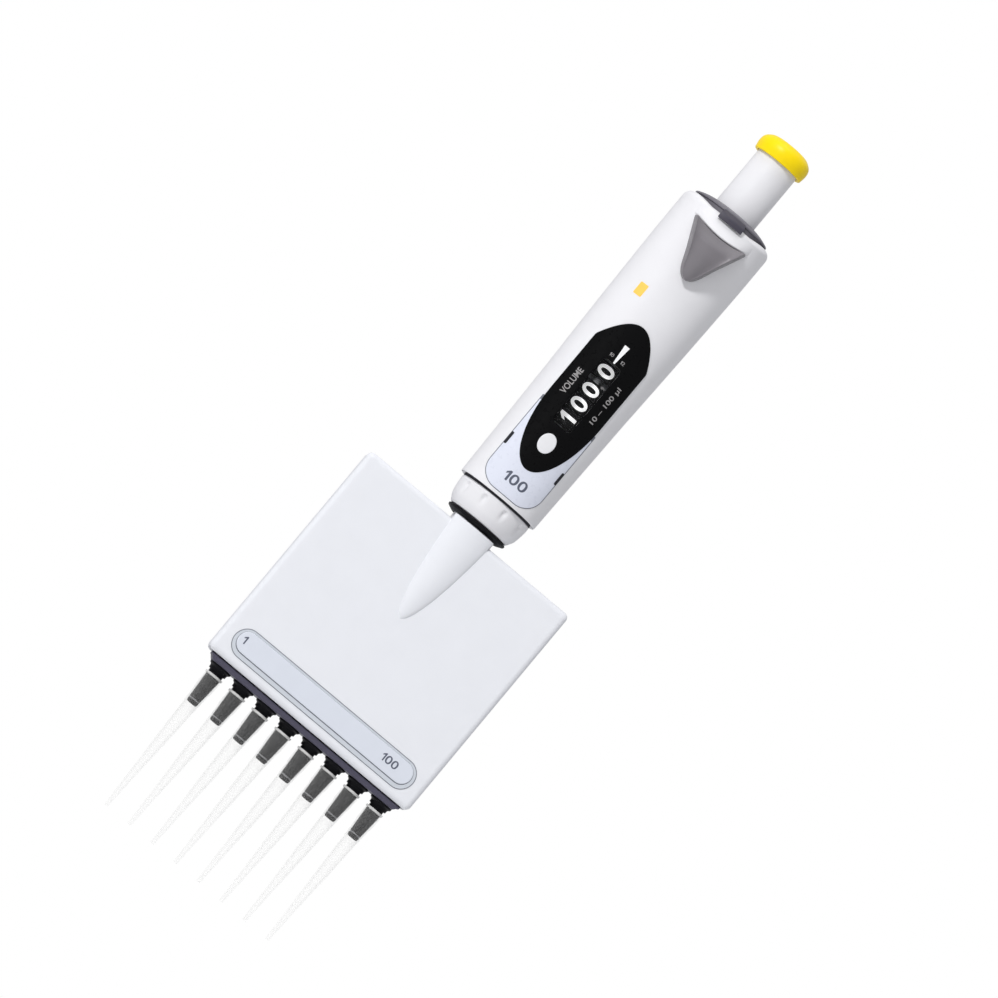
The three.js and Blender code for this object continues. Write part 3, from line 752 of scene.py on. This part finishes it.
lens_low, lens_high = extent("display_lens")
WINDOW_HALF = 3.45
window = box_outline(WINDOW_HALF, lens_low.z, lens_high.z, 1.4)
cover_low, cover_high = extent("calibration_cover")
plate_low, plate_high = extent("id_plate")
plate = box_outline(plate_high.x, plate_low.z - 0.2, plate_high.z + 6, 6.2, 1.0)


def bezel_foot(angle):
    """How far the display's lower edge is from the centre of its curve, less a little that it covers."""
    c, s = cosine(angle), sine(angle)
    return BEZEL_COVERS / math.hypot(c / BEZEL_HALF, s / (BEZEL_TAPER - BEZEL_BOTTOM))


crescent("id_plate_edge", "handle", LINE_GREY, grown(plate, 0.22), bezel_foot, 17, on_handle, 0.06, 0.6, 0.03)
crescent("identification_plate", "handle", PLATE_BLUE, plate, bezel_foot, 26, on_handle, 0.22, 0.6, 0.12,
         stands_for=["id_plate"])
pad("display_panel", "handle", BLACK, bezel_outline(), on_handle, BEZEL_HEIGHT, 1.8, 0.22, hole=window,
    centre=(0, (lens_low.z + lens_high.z) / 2), stands_for=["display_bezel"])
pad("window_lens", "handle", LENS, grown(window, -0.12), on_handle, BEZEL_HEIGHT - 0.12, 0.9, 0.08,
    stands_for=["display_lens"])
cover_middle, cover_half = (cover_low.z + cover_high.z) / 2, (cover_high.z - cover_low.z) / 2
dot = arc_points(0, cover_middle, cover_high.x, cover_half, 0, 354, 59)
pad("calibration_dot", "handle", SILVER, dot, on_handle, BEZEL_HEIGHT + 0.22, 0.6, 0.2,
    stands_for=["calibration_cover"])
# Dark slots at the plate's clips: real notches, their darkness painted shade.
for side, label in ((-1, "left"), (1, "right")):
    clip = box_outline(0.45, -72.2, -67.8, 0.35, middle=side * (plate_high.x - 0.25))
    pad(f"plate_clip_{label}", "handle", GAP_DARK, clip, on_handle, 0.3, 0.6, 0.08, count=60, loops=3)


def sideways_on_handle(x, z, rise):
    """Lays lettering on the display so that it reads from the bottom up."""
    return lambda u, v, out: on_handle(x - v, z + u, out + rise)


def upright_on_handle(x, z, rise):
    return lambda u, v, out: on_handle(x + u, z + v, out + rise)


def print_on_display(name, text, x, z, width, height):
    """Small lettering on the display that reads from the bottom up."""
    bm = flat_glyphs(text, 4, 0.06)
    sized(bm, width, height)
    printed(bm, sideways_on_handle(x, z, BEZEL_HEIGHT))
    finished(bm, name, "handle", INK_DIM)


print_on_display("range_text", "10 – 100 µl", 6.5, -44.4, 13.6, 1.9)
print_on_display("unit_text", "VOLUME", -6.4, -44.9, 9.2, 2.0)
capacity = numerals("100", 2.9, 3.4, 0.75, 0.35)
printed(capacity, upright_on_handle(0.2, -79.1, 0.22))
finished(capacity, "capacity_numeral", "handle", INK_GREY)
mark = box_outline(1.35, -12.5, -8.3, 0.25, middle=-8.0)
pad("colour_mark", "handle", MARK_YELLOW, mark, on_handle, 0.04, 0.3, 0.02, count=80, loops=4)


def pointer():
    """The wedge that points at the tenths, and the small scale numbers beside it."""
    wedge = flat_face([(-3.25, -0.3), (3.25, -0.9), (3.25, 0.9), (-3.25, 0.3)])
    printed(wedge, sideways_on_handle(0, -29.8, BEZEL_HEIGHT))
    finished(wedge, "scale_pointer", "handle", INK_WHITE)
    scale = bmesh.new()
    for text, x in (("10", -2.1), ("12", 2.1)):
        digits = numerals(text, 0.75, 1.1, 0.28, 0.15)
        printed(digits, upright_on_handle(x, -31.3, BEZEL_HEIGHT))
        merge(scale, digits)
    finished(scale, "scale_numbers", "handle", INK_DIM)


pointer()

# ---- number drums
DIGIT_STEP = 36
DIGIT_SIZE = (3.8, 5.7)  # along the axis, round the drum
DRUM_DIGITS = {"tenths": 0, "units": 0, "tens": 0, "hundreds": 1}  # the digit each drum shows at rest


def drum(place_name, shown):
    node = f"drum_{place_name}"
    low, high = extent(node)
    radius, middle = high.x, (low.z + high.z) / 2
    bore = 4.8
    profile = [(bore, low.z), (radius, low.z), (radius, high.z), (bore, high.z)]
    turned(f"number_drum_{place_name}", place_name, DRUM_BLACK, profile, 0.35, 120,
           stands_for=[node])
    digits = bmesh.new()
    for digit in range(10):
        turn_by = math.radians(DIGIT_STEP * (shown - digit))

        def on_drum(u, v, out, turn_by=turn_by):
            angle, reach = turn_by - v / radius, radius + out
            return (reach * math.sin(angle), -reach * math.cos(angle), middle + u)

        glyph = numerals(str(digit), *DIGIT_SIZE, 1.15)
        printed(glyph, on_drum, rise=0.04, step=0.5)
        merge(digits, glyph)
    if place_name == "units":
        comma = flat_glyphs(",", 4, 0.06)
        sized(comma, 0.8, 1.6)

        def beside_units(u, v, out):
            x = 2.6 - v
            return (x, -math.sqrt((radius + out) ** 2 - x**2), middle + 2.6 + u)

        printed(comma, beside_units, rise=0.04)
        finished(comma, "decimal_comma", "handle", INK_DIM)
    finished(digits, f"digits_{place_name}", place_name, GLOWING_DRUM_INK)


for place_name, shown in DRUM_DIGITS.items():
    drum(place_name, shown)

# ---- button, shaft and lock
button_low, button_high = extent("operating_button")
shaft_low, shaft_high = extent("plunger_shaft")
BUTTON_RADIUS = button_high.x
turned("push_button", "plunger", YELLOW, [
    (0, button_low.z + 0.6),
    (7.5, button_low.z + 0.6),
    (7.5, button_low.z),
    (BUTTON_RADIUS - 0.45, button_low.z),
    (BUTTON_RADIUS, button_low.z + 2.6, 2.5),
    (BUTTON_RADIUS - 0.35, button_high.z - 2.2, 3),
    (BUTTON_RADIUS - 2.6, button_high.z - 0.35, 1.6),
    (0, button_high.z, 3),
], 0.35, 128, closed=False, stands_for=["operating_button"])
turned("button_shaft", "plunger", WHITE, [
    (5.6, shaft_low.z),
    (shaft_high.x, shaft_low.z),
    (shaft_high.x, button_low.z + 0.3),
    (5.6, button_low.z + 0.3),
], 0.35, 112, stands_for=["plunger_shaft"])

lock_low, lock_high = extent("volume_lock_ring")
DOME_BASE, DOME_TOP = 24.3, lock_high.z - 0.2
DOME_RADIUS = 13.75
SKIRT_RADIUS = 13.15
dome = [
    (shaft_high.x + 0.45, RECESS_FLOOR + 0.25),
    (SKIRT_RADIUS, RECESS_FLOOR + 0.25),
    (SKIRT_RADIUS, DOME_BASE - 0.15, 0.1),
    (DOME_RADIUS, DOME_BASE, 0.15),
    (DOME_RADIUS, DOME_BASE + 0.5, 0.3),
    (DOME_RADIUS - 2.2, DOME_TOP - 0.6, 3),
    (DOME_RADIUS - 5, DOME_TOP, 2),
    (shaft_high.x + 0.45, DOME_TOP),
]
turned("lock_dome", "lock", DOME_GREY, dome, 0.2, 128, stands_for=["volume_lock_ring"])
TAB_HALF_ANGLE = 14.6
tab = [
    (SKIRT_RADIUS - 0.3, DOME_BASE - 0.6),
    (TOP_RADIUS - 0.6, DOME_BASE - 0.7, 0.4),
    (TOP_RADIUS + 0.8, lock_low.z + 1.7, 0.4),
    (TOP_RADIUS + 0.85, lock_low.z + 0.15),
    (TOP_RADIUS + 1.45, lock_low.z + 0.15),
    (TOP_RADIUS + 1.35, lock_low.z + 2, 0.5),
    (TOP_RADIUS - 0.35, DOME_BASE + 0.2, 0.6),
    (SKIRT_RADIUS - 0.3, DOME_BASE + 0.9),
]
# The tab's darker grey is painted shade under the dome's brim.
turned("lock_tab", "lock", TAB_PAINTED_SHADE_GREY, tab, 0.2, 40, arc=(-90 - TAB_HALF_ANGLE, -90 + TAB_HALF_ANGLE))

# ---- ejector trigger
trigger_low, trigger_high = extent("ejector_trigger")
TRIGGER_TIP = trigger_low.z + 0.1


def along_curve(points, t):
    """A value read from a smooth curve through points of (t, value)."""
    slopes = [(v1 - v0) / (t1 - t0) for (t0, v0), (t1, v1) in zip(points, points[1:])]
    tangents = [slopes[0], *[(a + b) / 2 if a * b > 0 else 0 for a, b in zip(slopes, slopes[1:])], slopes[-1]]
    for i, ((t0, v0), (t1, v1)) in enumerate(zip(points, points[1:])):
        if t <= t1:
            span = t1 - t0
            s = (t - t0) / span
            start, end = tangents[i] * span, tangents[i + 1] * span
            return (
                v0 * (2 * s**3 - 3 * s**2 + 1)
                + start * (s**3 - 2 * s**2 + s)
                + v1 * (3 * s**2 - 2 * s**3)
                + end * (s**3 - s**2)
            )
    return points[-1][1]


def trigger():
    """A beak-shaped finger pad: proud of the handle, rounded down its middle and flared at its edges."""
    top_half = TRIGGER_HALF - 0.9
    half_widths = [(0, top_half), (0.25, 6.9), (0.5, 4.9), (0.75, 3.2), (0.88, 2.3), (0.96, 1.4), (1, 0.5)]
    proud = [(0, 2.6), (0.12, 4.2), (0.25, 5.0), (0.4, 5.0), (0.7, 4.0), (0.9, 3.1), (1, 2.5)]
    crown = [(0, 0.5), (0.3, 1.1), (0.8, 1.0), (1, 0.2)]
    levels, stations = 90, 60
    rows = []
    for i in range(levels + 1):
        t = sine(90 * i / levels)
        half = along_curve(half_widths, t)
        lift = along_curve(proud, t)
        bump = along_curve(crown, t)
        row = []
        for j in range(stations + 1):
            u = sine(-90 + 180 * j / stations)
            x = u * half
            z = trigger_edge(x) + (TRIGGER_TIP - trigger_edge(x)) * t
            rim = 0.9 * abs(u) ** 5 * min(1, 1.5 * (1 - t))
            row.append((x, -TOP_RADIUS - lift - bump * (1 - u * u) ** 1.5 - rim, z))
        left, right = row[0], row[-1]

        def wall(corner, side, half=half):
            x, y, z = corner
            base = on_handle(x, z, 0.35)[1]
            narrow = min(half / 3, 1)
            return [
                (x + side * flare * narrow, y + (base - y) * share, z)
                for share, flare in ((0.07, 0.14), (0.5, 0.5), (1, 0.85))
            ]

        rows.append([*reversed(wall(left, -1)), *row, *wall(right, 1)])
    rows.insert(0, [(x, on_handle(x, z, 0.35)[1], z) for x, y, z in rows[0]])
    bm = loft(rows)
    block(bm, (-1.7, -17.6, 9), (1.7, trigger_high.y, 14.6))  # the stem through the handle's slot
    finished(bm, "eject_trigger", "ejector", TRIGGER_GREY, stands_for=["ejector_trigger"], sharp=50)


trigger()

# ---- coupling
nut_low, nut_high = extent("collar_nut")
NUT_RADIUS = nut_high.x
NUT_DIMPLES = 10


def teardrop(angle, z):
    """How deep a grip dimple is: widest and deepest near its top, fading downward."""
    step = 360 / NUT_DIMPLES
    aside = (angle + 90) % step - step / 2
    t = (nut_high.z - 0.9 - z) / 5
    if not 0 < t < 1:
        return 0
    width = 4.6 + 2.5 * t
    deep = 0.9 * (math.sin(math.pi / 2 * t / 0.22) if t < 0.22 else (1 - (t - 0.22) / 0.78) ** 1.5)
    return -deep * math.exp(-((aside / width) ** 2) * 2.2)


def nut():
    """The grip nut under the handle, with a ring of teardrop-shaped dimples."""
    outline = closed_profile([
        (9.3, nut_high.z + 0.2),
        (NUT_RADIUS - 0.15, nut_high.z + 0.2, 0.4),
        (NUT_RADIUS - 0.05, nut_high.z - 1.6, 0.8),
        (NUT_RADIUS - 0.25, nut_high.z - 3.4, 1.0),
        (NUT_RADIUS - 0.75, nut_high.z - 5.9, 1.0),
        (11.1, nut_low.z + 0.75, 0.8),
        (10.5, nut_low.z, 0.3),
        (8.1, nut_low.z),
        (8.1, nut_low.z + 1),
        (9.3, nut_low.z + 1),
    ], 0.3, 0.25)
    columns = []
    for angle in range(360):
        column = []
        for radius, z in outline:
            r = radius + (teardrop(angle, z) if radius > 9.8 else 0)
            column.append((r * cosine(angle), r * sine(angle), z))
        columns.append(column)
    bm = bmesh.new()
    add_grid(bm, columns, round_rows=True, round_columns=True)
    finished(bm, "grip_nut", "collar", WHITE, stands_for=["collar_nut"])


nut()
gasket_low, gasket_high = extent("gasket_ring")
turned("neck_gasket", "module", FLANGE_BLACK, [
    (8.1, gasket_low.z + 0.6),
    (8.7, gasket_low.z + 0.6),
    (gasket_high.x - 0.3, gasket_low.z + 1.5),
    (gasket_high.x - 0.15, gasket_high.z),
    (8.1, gasket_high.z),
], 0.25, 112, stands_for=["gasket_ring"])
# A dark ring in the gap between handle and nut: painted shade in the gap.
turned("handle_gap_shade", "handle", GAP_DARK, [
    (9.4, nut_high.z + 0.25),
    (12.75, nut_high.z + 0.25),
    (12.75, BOTTOM + 0.3),
    (9.4, BOTTOM + 0.3),
], 0.1, 96)

# ---- module covers
module_low, module_high = extent("module_front_cover")
MODULE_HALF = module_high.x
MODULE_DEPTH = 8
MODULE_TOP, MODULE_BOTTOM = module_high.z, module_low.z
MODULE_EDGE, MODULE_WALL = 1.8, 1.3
INNER_HALF, INNER_DEPTH = MODULE_HALF - MODULE_EDGE, MODULE_DEPTH - MODULE_EDGE
NECK_OPENING = 6.2  # radius of the hole in the covers' top, hidden under the neck
FAIRING = [
    (-97.4, 7.35),
    (-105.1, 6.75),
    (-111.1, 6.1),
    (-117.7, 5.2),
    (-125.2, 3.7),
    (-129.5, 2.35),
    (-131.7, 1.2),
    (-132.6, 0.15),
]
FAIRING_PROUD = 2.5


def spaced(low, high, edge, count):
    """Positions from low to high that are close together within an edge's width of both ends."""
    near = [edge * k / 6 for k in range(6)]
    inner = [low + edge + (high - low - 2 * edge) * k / count for k in range(count + 1)]
    return [low + n for n in near] + inner + [high - n for n in reversed(near)]


def module_cover(name, facing, node):
    """One cover of the module: a rounded box open towards its seam and underneath, with a real wall."""
    seam = 0.15
    xs = spaced(-MODULE_HALF, MODULE_HALF, MODULE_EDGE, 150)
    zs = spaced(MODULE_BOTTOM, MODULE_TOP, MODULE_EDGE, 140)
    ys = [seam + (MODULE_DEPTH - MODULE_EDGE - seam) * k / 8 for k in range(9)]
    ys += [MODULE_DEPTH - MODULE_EDGE + MODULE_EDGE * k / 6 for k in range(1, 7)]

    def shaped(x, y, z):
        inner = Vector((
            max(-INNER_HALF, min(INNER_HALF, x)),
            min(y, INNER_DEPTH),
            max(MODULE_BOTTOM + MODULE_EDGE, min(MODULE_TOP - MODULE_EDGE, z)),
        ))
        away = Vector((x, y, z)) - inner
        away = Vector((away.x, away.y if y > INNER_DEPTH else 0, away.z))
        if away.length > 0:
            point = inner + away.normalized() * MODULE_EDGE
            point.y = point.y if y > INNER_DEPTH else y
        else:
            point = Vector((x, y, z))
        return (point.x, facing * point.y, point.z)

    bm = bmesh.new()
    add_grid(bm, [[shaped(x, MODULE_DEPTH, z) for x in xs] for z in zs])
    for x in (-MODULE_HALF, MODULE_HALF):
        add_grid(bm, [[shaped(x, y, z) for y in ys] for z in zs])
    top = add_grid(bm, [[shaped(x, y, MODULE_TOP) for y in ys] for x in xs])
    inside = {vert for row in top for vert in row if math.hypot(vert.co.x, vert.co.y) < NECK_OPENING}
    gone = [face for face in bm.faces if all(vert in inside for vert in face.verts)]
    bmesh.ops.delete(bm, geom=gone, context="FACES")
    lip = [y for y in ys if y > MODULE_DEPTH - MODULE_EDGE - 0.9]
    add_grid(bm, [[shaped(x, y, MODULE_BOTTOM) for y in lip] for x in xs])
    piece = finished(bm, name, "module", MODULE_WHITE, stands_for=[node], sharp=50)
    add_wall(piece, MODULE_WALL)
    return piece


def outward(piece, centre):
    """Flips a piece's faces if they look towards the centre."""
    score = sum(p.normal.dot(p.center - centre) * p.area for p in piece.data.polygons)
    if score < 0:
        piece.data.flip_normals()


module_middle = Vector((0, 0, (MODULE_TOP + MODULE_BOTTOM) / 2)) * MM
outward(module_cover("front_cover", -1, "module_front_cover"), module_middle)
outward(module_cover("rear_cover", 1, "module_rear_cover"), module_middle)


def fairing(name, facing):
    """The tapered swelling on a cover where the neck runs into the module."""
    rows = []
    low, high = FAIRING[-1][0], FAIRING[0][0]
    for i in range(61):
        z = high + (low - high) * i / 60
        half = along_curve([(-z0, w) for z0, w in FAIRING], -z)
        proud = FAIRING_PROUD * (half / FAIRING[0][1]) ** 0.9
        row = [(-half, facing * (MODULE_DEPTH - 0.8), z)]
        for j in range(41):
            u = sine(-90 + 180 * j / 40)
            row.append((half * u, facing * (MODULE_DEPTH + proud * (1 - u * u) ** 0.7), z))
        row.append((half, facing * (MODULE_DEPTH - 0.8), z))
        rows.append(row)
    finished(loft(rows), name, "module", MODULE_WHITE)


fairing("front_fairing", -1)
fairing("rear_fairing", 1)

# ---- module label
label_low, label_high = extent("module_label")
LABEL_MIDDLE = (label_low.z + label_high.z) / 2
LABEL_HEIGHT = 0.34


def on_module(x, z, out):
    return (x, -MODULE_DEPTH - out, z)


def stadium(half, low, high):
    radius = (high - low) / 2
    right = arc_points(half - radius, low + radius, radius, radius, -90, 90, 24)
    return right + arc_points(radius - half, low + radius, radius, radius, 90, 270, 24)


def label_band(name, material, half, low, high, width, rise):
    """A narrow stadium-shaped dark band on the module: painted shade along an edge of the label."""
    inner = stadium(half - width, low + width, high - width)
    pad(name, "module", material, stadium(half, low, high), on_module, rise, 0.3, 0.02, hole=inner,
        centre=(0, (low + high) / 2), count=720, loops=2)


label_half = label_high.x - 0.1
label_bottom, label_top = label_low.z + 0.1, label_high.z - 0.1
# The groove round the label is a flat pad painted darker: painted shade of a recess.
pad("label_recess", "module", LABEL_SHADE, stadium(label_half, label_bottom, label_top), on_module,
    0.06, 0.4, 0.03, count=720, stands_for=["module_label"])
# Dark lines of painted shade: one along the groove's outer edge, one under the plate as its shadow.
label_band("label_edge_shade", LINE_GREY, label_half, label_bottom, label_top, 0.22, 0.1)
label_band("label_shadow", LINE_GREY, label_half - 1.15, label_bottom + 1.45, label_top - 0.85, 0.5, 0.09)
pad("label_plate", "module", LABEL_BLUE, stadium(label_half - 1.3, label_bottom + 1.75, label_top - 0.9),
    on_module, LABEL_HEIGHT, 0.3, 0.22, count=720)
for text, x, key in (("1", -31.5, "first"), ("100", 25.2, "last")):
    glyph = numerals(text, 2.1, 2.6, 0.45, 0.25)
    printed(glyph, lambda u, v, out, x=x: on_module(x + u, LABEL_MIDDLE + 0.75 + v, LABEL_HEIGHT + out), step=2)
    finished(glyph, f"label_numeral_{key}", "module", INK_GREY)

# ---- ejector bar, cones and tips
eject_low, eject_high = extent("ejector_frame")
STRIP_TOP, STRIP_BOTTOM, STRIP_DEPTH = -176.2, -178.1, 6
STRIP_CHAMFER = 1.6  # how much shorter the strip is underneath, at each end
HOLE_RADIUS = 2.75
FLANGE_RADIUS = 3.85
CHANNEL_X = [sum(c.x for c in extent(f"tip_{n}")) / 2 for n in range(1, 9)]


def rounded_block(bm, low, high, edge):
    made = block(bm, low, high)
    edges = list({e for v in made for e in v.link_edges})
    bmesh.ops.bevel(bm, geom=edges, offset=edge, segments=4, profile=0.5, affect="EDGES")


def pierced_plate(half, depth, low, high, edge, holes, hole_radius):
    """A flat plate with rounded edges and a row of round holes."""
    curve = bpy.data.curves.new("plate", "CURVE")
    curve.dimensions, curve.fill_mode = "2D", "BOTH"
    curve.extrude = (high - low) / 2 - edge
    curve.bevel_depth, curve.offset, curve.bevel_resolution = edge, -edge, 3
    outlines = [[(-half, -depth), (half, -depth), (half, depth), (-half, depth)]]
    outlines += [arc_points(x, 0, hole_radius, hole_radius, 0, 352.5, 47) for x in holes]
    for outline in outlines:
        spline = curve.splines.new("POLY")
        spline.points.add(len(outline) - 1)
        spline.use_cyclic_u = True
        for point, (x, y) in zip(spline.points, outline):
            point.co = (x, y, 0, 1)
    bm = filled(curve)
    bmesh.ops.translate(bm, vec=(0, 0, (low + high) / 2), verts=bm.verts)
    return bm


def eject_bar():
    half = eject_high.x
    bm = pierced_plate(half, STRIP_DEPTH, STRIP_BOTTOM, STRIP_TOP, 0.3, CHANNEL_X, HOLE_RADIUS)
    for vert in bm.verts:
        if abs(vert.co.x) > half - 2:
            shorter = STRIP_CHAMFER * (STRIP_TOP - vert.co.z) / (STRIP_TOP - STRIP_BOTTOM)
            vert.co.x -= math.copysign(shorter, vert.co.x)
    finished(bm, "ejector_strip", "ejector_bar", STRIP_GREY, stands_for=["ejector_frame"], weighted=True)
    bm = bmesh.new()
    for side in (-1, 1):
        edges = sorted((side * (half - 1.4), side * half))
        rounded_block(bm, (edges[0], -3, STRIP_TOP - 0.6), (edges[1], 3, eject_high.z), 0.25)
    for start, end in ((-half, -2.6), (2.6, half)):
        rounded_block(bm, (start, -3, eject_high.z - 2.6), (end, 3, eject_high.z), 0.25)
    finished(bm, "ejector_arms", "ejector_bar", STRIP_GREY, weighted=True)


eject_bar()


def flange(number, x):
    profile = [
        (HOLE_RADIUS, STRIP_BOTTOM + 0.4),
        (FLANGE_RADIUS, STRIP_BOTTOM + 0.4),
        (FLANGE_RADIUS, STRIP_BOTTOM - 0.55, 0.25),
        (FLANGE_RADIUS - 0.75, STRIP_BOTTOM - 1.0, 0.5),
        (3.05, eject_low.z, 0.2),
        (HOLE_RADIUS, eject_low.z),
    ]
    turned(f"eject_flange_{number}", "ejector_bar", FLANGE_BLACK, profile, 0.15, 48, centre=(x, 0))


def cone(number, x):
    low, high = extent(f"tip_cone_{number}")
    nose, shank, bore_end = low.z, -181, -179
    profile = [
        (0.8, nose),
        (1.75, nose, 0.45),
        (1.9, nose + 0.9, 0.1),
        (1.9, nose + 1.2, 0.1),
        (1.75, nose + 1.25, 0.1),
        (1.75, nose + 1.75, 0.1),
        (1.93, nose + 1.8, 0.1),
        (2.5, shank - 1.2, 0.2),
        (2.5, shank + 4, 0.2),
        (2.5, high.z),
        (1.9, high.z),
        (1.9, bore_end),
        (0.8, bore_end),
    ]
    turned(f"nose_cone_{number}", "module", CONE_GREY, profile, 0.1, 48, centre=(x, 0),
           stands_for=[f"tip_cone_{number}"])
    bm = bmesh.new()
    turn(bm, arc_points(1.72, nose + 1.5, 0.22, 0.22, 0, 330, 11), 48, closed=True, centre=(x, 0))
    finished(bm, f"cone_seal_{number}", "module", SEAL)


TIP_RIBS, RIB_HEIGHT = 8, 0.22
COLLAR_LOW, COLLAR_HIGH = 6.2, 0.7  # where a tip's ribs end and start, below its rim


def tip(number, x):
    """A tip: a thin-walled cone with a rim and a ribbed collar, which fits over its nose cone."""
    low, high = extent(f"tip_{number}")
    rim, end = high.z, low.z

    def ribs(angle, z):
        if z < rim - COLLAR_LOW or z > rim - COLLAR_HIGH:
            return 0
        fade = min((rim - COLLAR_HIGH - z) / 0.3, (z - rim + COLLAR_LOW) / 1.5, 1)
        return RIB_HEIGHT * fade * max(cosine(angle * TIP_RIBS), 0) ** 6

    outer = [
        (0.32, end),
        (0.62, end),
        (1.2, -218),
        (1.85, -206),
        (2.3, -194),
        (2.68, rim - COLLAR_LOW),
        (2.82, rim - 0.75),
        (3.08, rim - 0.6),
        (3.08, rim),
    ]
    inner = [(2.62, rim), (2.12, -192.5), (1.5, -206), (0.85, -218)]
    dense = []
    for a, b in zip(outer, outer[1:]):
        dense += divided(a, b, max(1, math.ceil(abs(a[1] - b[1]))))
    dense.append(outer[-1])
    columns = []
    for i in range(64):
        angle = 360 * i / 64
        reaches = [(r + ribs(angle, z), z) for r, z in dense] + inner
        columns.append([(x + r * cosine(angle), r * sine(angle), z) for r, z in reaches])
    bm = bmesh.new()
    add_grid(bm, columns, round_rows=True, round_columns=True)
    finished(bm, f"pipette_tip_{number}", "tips", TIP_CLEAR, stands_for=[f"tip_{number}"])


def height_band(tree, height, softness, highest=1.0):
    """A node whose result is 0 below a height and the highest value above it."""
    place = new_node(tree, "ShaderNodeTexCoord")
    split = new_node(tree, "ShaderNodeSeparateXYZ")
    edges = {"From Min": (height - softness) * MM, "From Max": (height + softness) * MM}
    band = new_node(tree, "ShaderNodeMapRange", {**edges, "To Max": highest})
    link(place, "Object", split, "Vector")
    link(split, "Z", band, "Value")
    return band


def darken_above(material, height, colour):
    """Blends a moulded colour to another above a height, for the part of a cone outside its tip."""
    tree = material.node_tree
    base = tree.nodes["Principled BSDF"].inputs["Base Color"]
    mix = new_node(tree, "ShaderNodeMix", data_type="RGBA")
    set_inputs(mix, {"B": (*colour, 1)})
    link(height_band(tree, height, 0.15), "Result", mix, "Factor")
    tree.links.new(base.links[0].from_socket, mix.inputs["A"])
    tree.links.new(mix.outputs["Result"], base)


def frost_above(material, height, alpha):
    """Makes a see-through material denser above a height, for the thick rim of a tip."""
    tree = material.node_tree
    density = tree.nodes["Principled BSDF"].inputs["Alpha"]
    densest = new_node(tree, "ShaderNodeMath", operation="MAXIMUM")
    link(height_band(tree, height, 0.1, alpha), "Result", densest, 0)
    tree.links.new(density.links[0].from_socket, densest.inputs[1])
    tree.links.new(densest.outputs["Value"], density)


darken_above(CONE_GREY, CONE_BLACK_FROM, (0.004, 0.004, 0.0055))
frost_above(TIP_CLEAR, extent("tip_1")[1].z - 0.75, 0.62)
for index, x in enumerate(CHANNEL_X):
    flange(index + 1, x)
    cone(index + 1, x)
    tip(index + 1, x)

# ---- carried-over CAD nodes
CARRIED = {
    "counter_frame": DRUM_BLACK,
    "shaft_bushing": DOME_GREY,
    "handle_spigot": WHITE,
    "ejector_strap": TRIGGER_GREY,
    "module_neck": WHITE,
    "cone_frame": STRIP_GREY,
    "piston_carriage": CONE_GREY,
}
for node, piece in frame["nodes"].items():
    if not piece.hide_render:
        piece.data.materials.clear()
        piece.data.materials.append(CARRIED.get(node, STEEL))

for joint in frame["record"]["behaviour"]["joints"]:
    for spring in joint.get("deforming_nodes", []):
        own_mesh(frame["nodes"][spring["node"]])

# ---- light and stage
def area_light(name, place, size, power):
    """A square light that faces the object; place and size are in metres."""
    data = bpy.data.lights.new(name, "AREA")
    data.size, data.energy = size, power
    light = placed(name, data)
    light.location = Vector(place)
    light.rotation_mode = "QUATERNION"
    light.rotation_quaternion = (AIM * MM - light.location).to_track_quat("-Z", "Y")


area_light("key", (-0.82, -1.17, 0.74), 0.22, 14.5)
area_light("top", (-0.3, -0.3, 1.5), 0.9, 4.5)


def world():
    """A soft studio that is brighter above and behind, with a white backdrop for the camera."""
    made = bpy.data.worlds.new("studio")
    bpy.context.scene.world = made
    made.use_nodes = True
    tree = made.node_tree
    tree.nodes.clear()
    output = new_node(tree, "ShaderNodeOutputWorld")
    mix = new_node(tree, "ShaderNodeMixShader")
    path = new_node(tree, "ShaderNodeLightPath")
    lit = new_node(tree, "ShaderNodeBackground", {"Color": (0.96, 0.97, 1, 1)})
    seen = new_node(tree, "ShaderNodeBackground", {"Color": (1, 1, 1, 1)})
    place = new_node(tree, "ShaderNodeTexCoord")
    slope = new_node(tree, "ShaderNodeVectorMath", {1: (-0.1, 0.3, 0.85)}, operation="DOT_PRODUCT")
    spread = new_node(tree, "ShaderNodeMapRange", {"From Min": -1, "To Min": 0.22, "To Max": 0.7})
    link(place, "Generated", slope, 0)
    link(slope, "Value", spread, "Value")
    link(spread, "Result", lit, "Strength")
    link(path, "Is Camera Ray", mix, "Fac")
    link(lit, "Background", mix, 1)
    link(seen, "Background", mix, 2)
    link(mix, "Shader", output, "Surface")


world()


def floor():
    """A wide pale floor well below the tips."""
    bm = bmesh.new()
    bmesh.ops.create_circle(bm, cap_ends=True, segments=96, radius=2)
    mesh = bpy.data.meshes.new("floor")
    bm.to_mesh(mesh)
    bm.free()
    mesh.materials.append(moulded("pale_floor", (0.9, 0.9, 0.9), 0.7))
    made = placed("floor", mesh)
    made.location.z = -0.45


floor()
bpy.context.scene.view_settings.view_transform = "Standard"
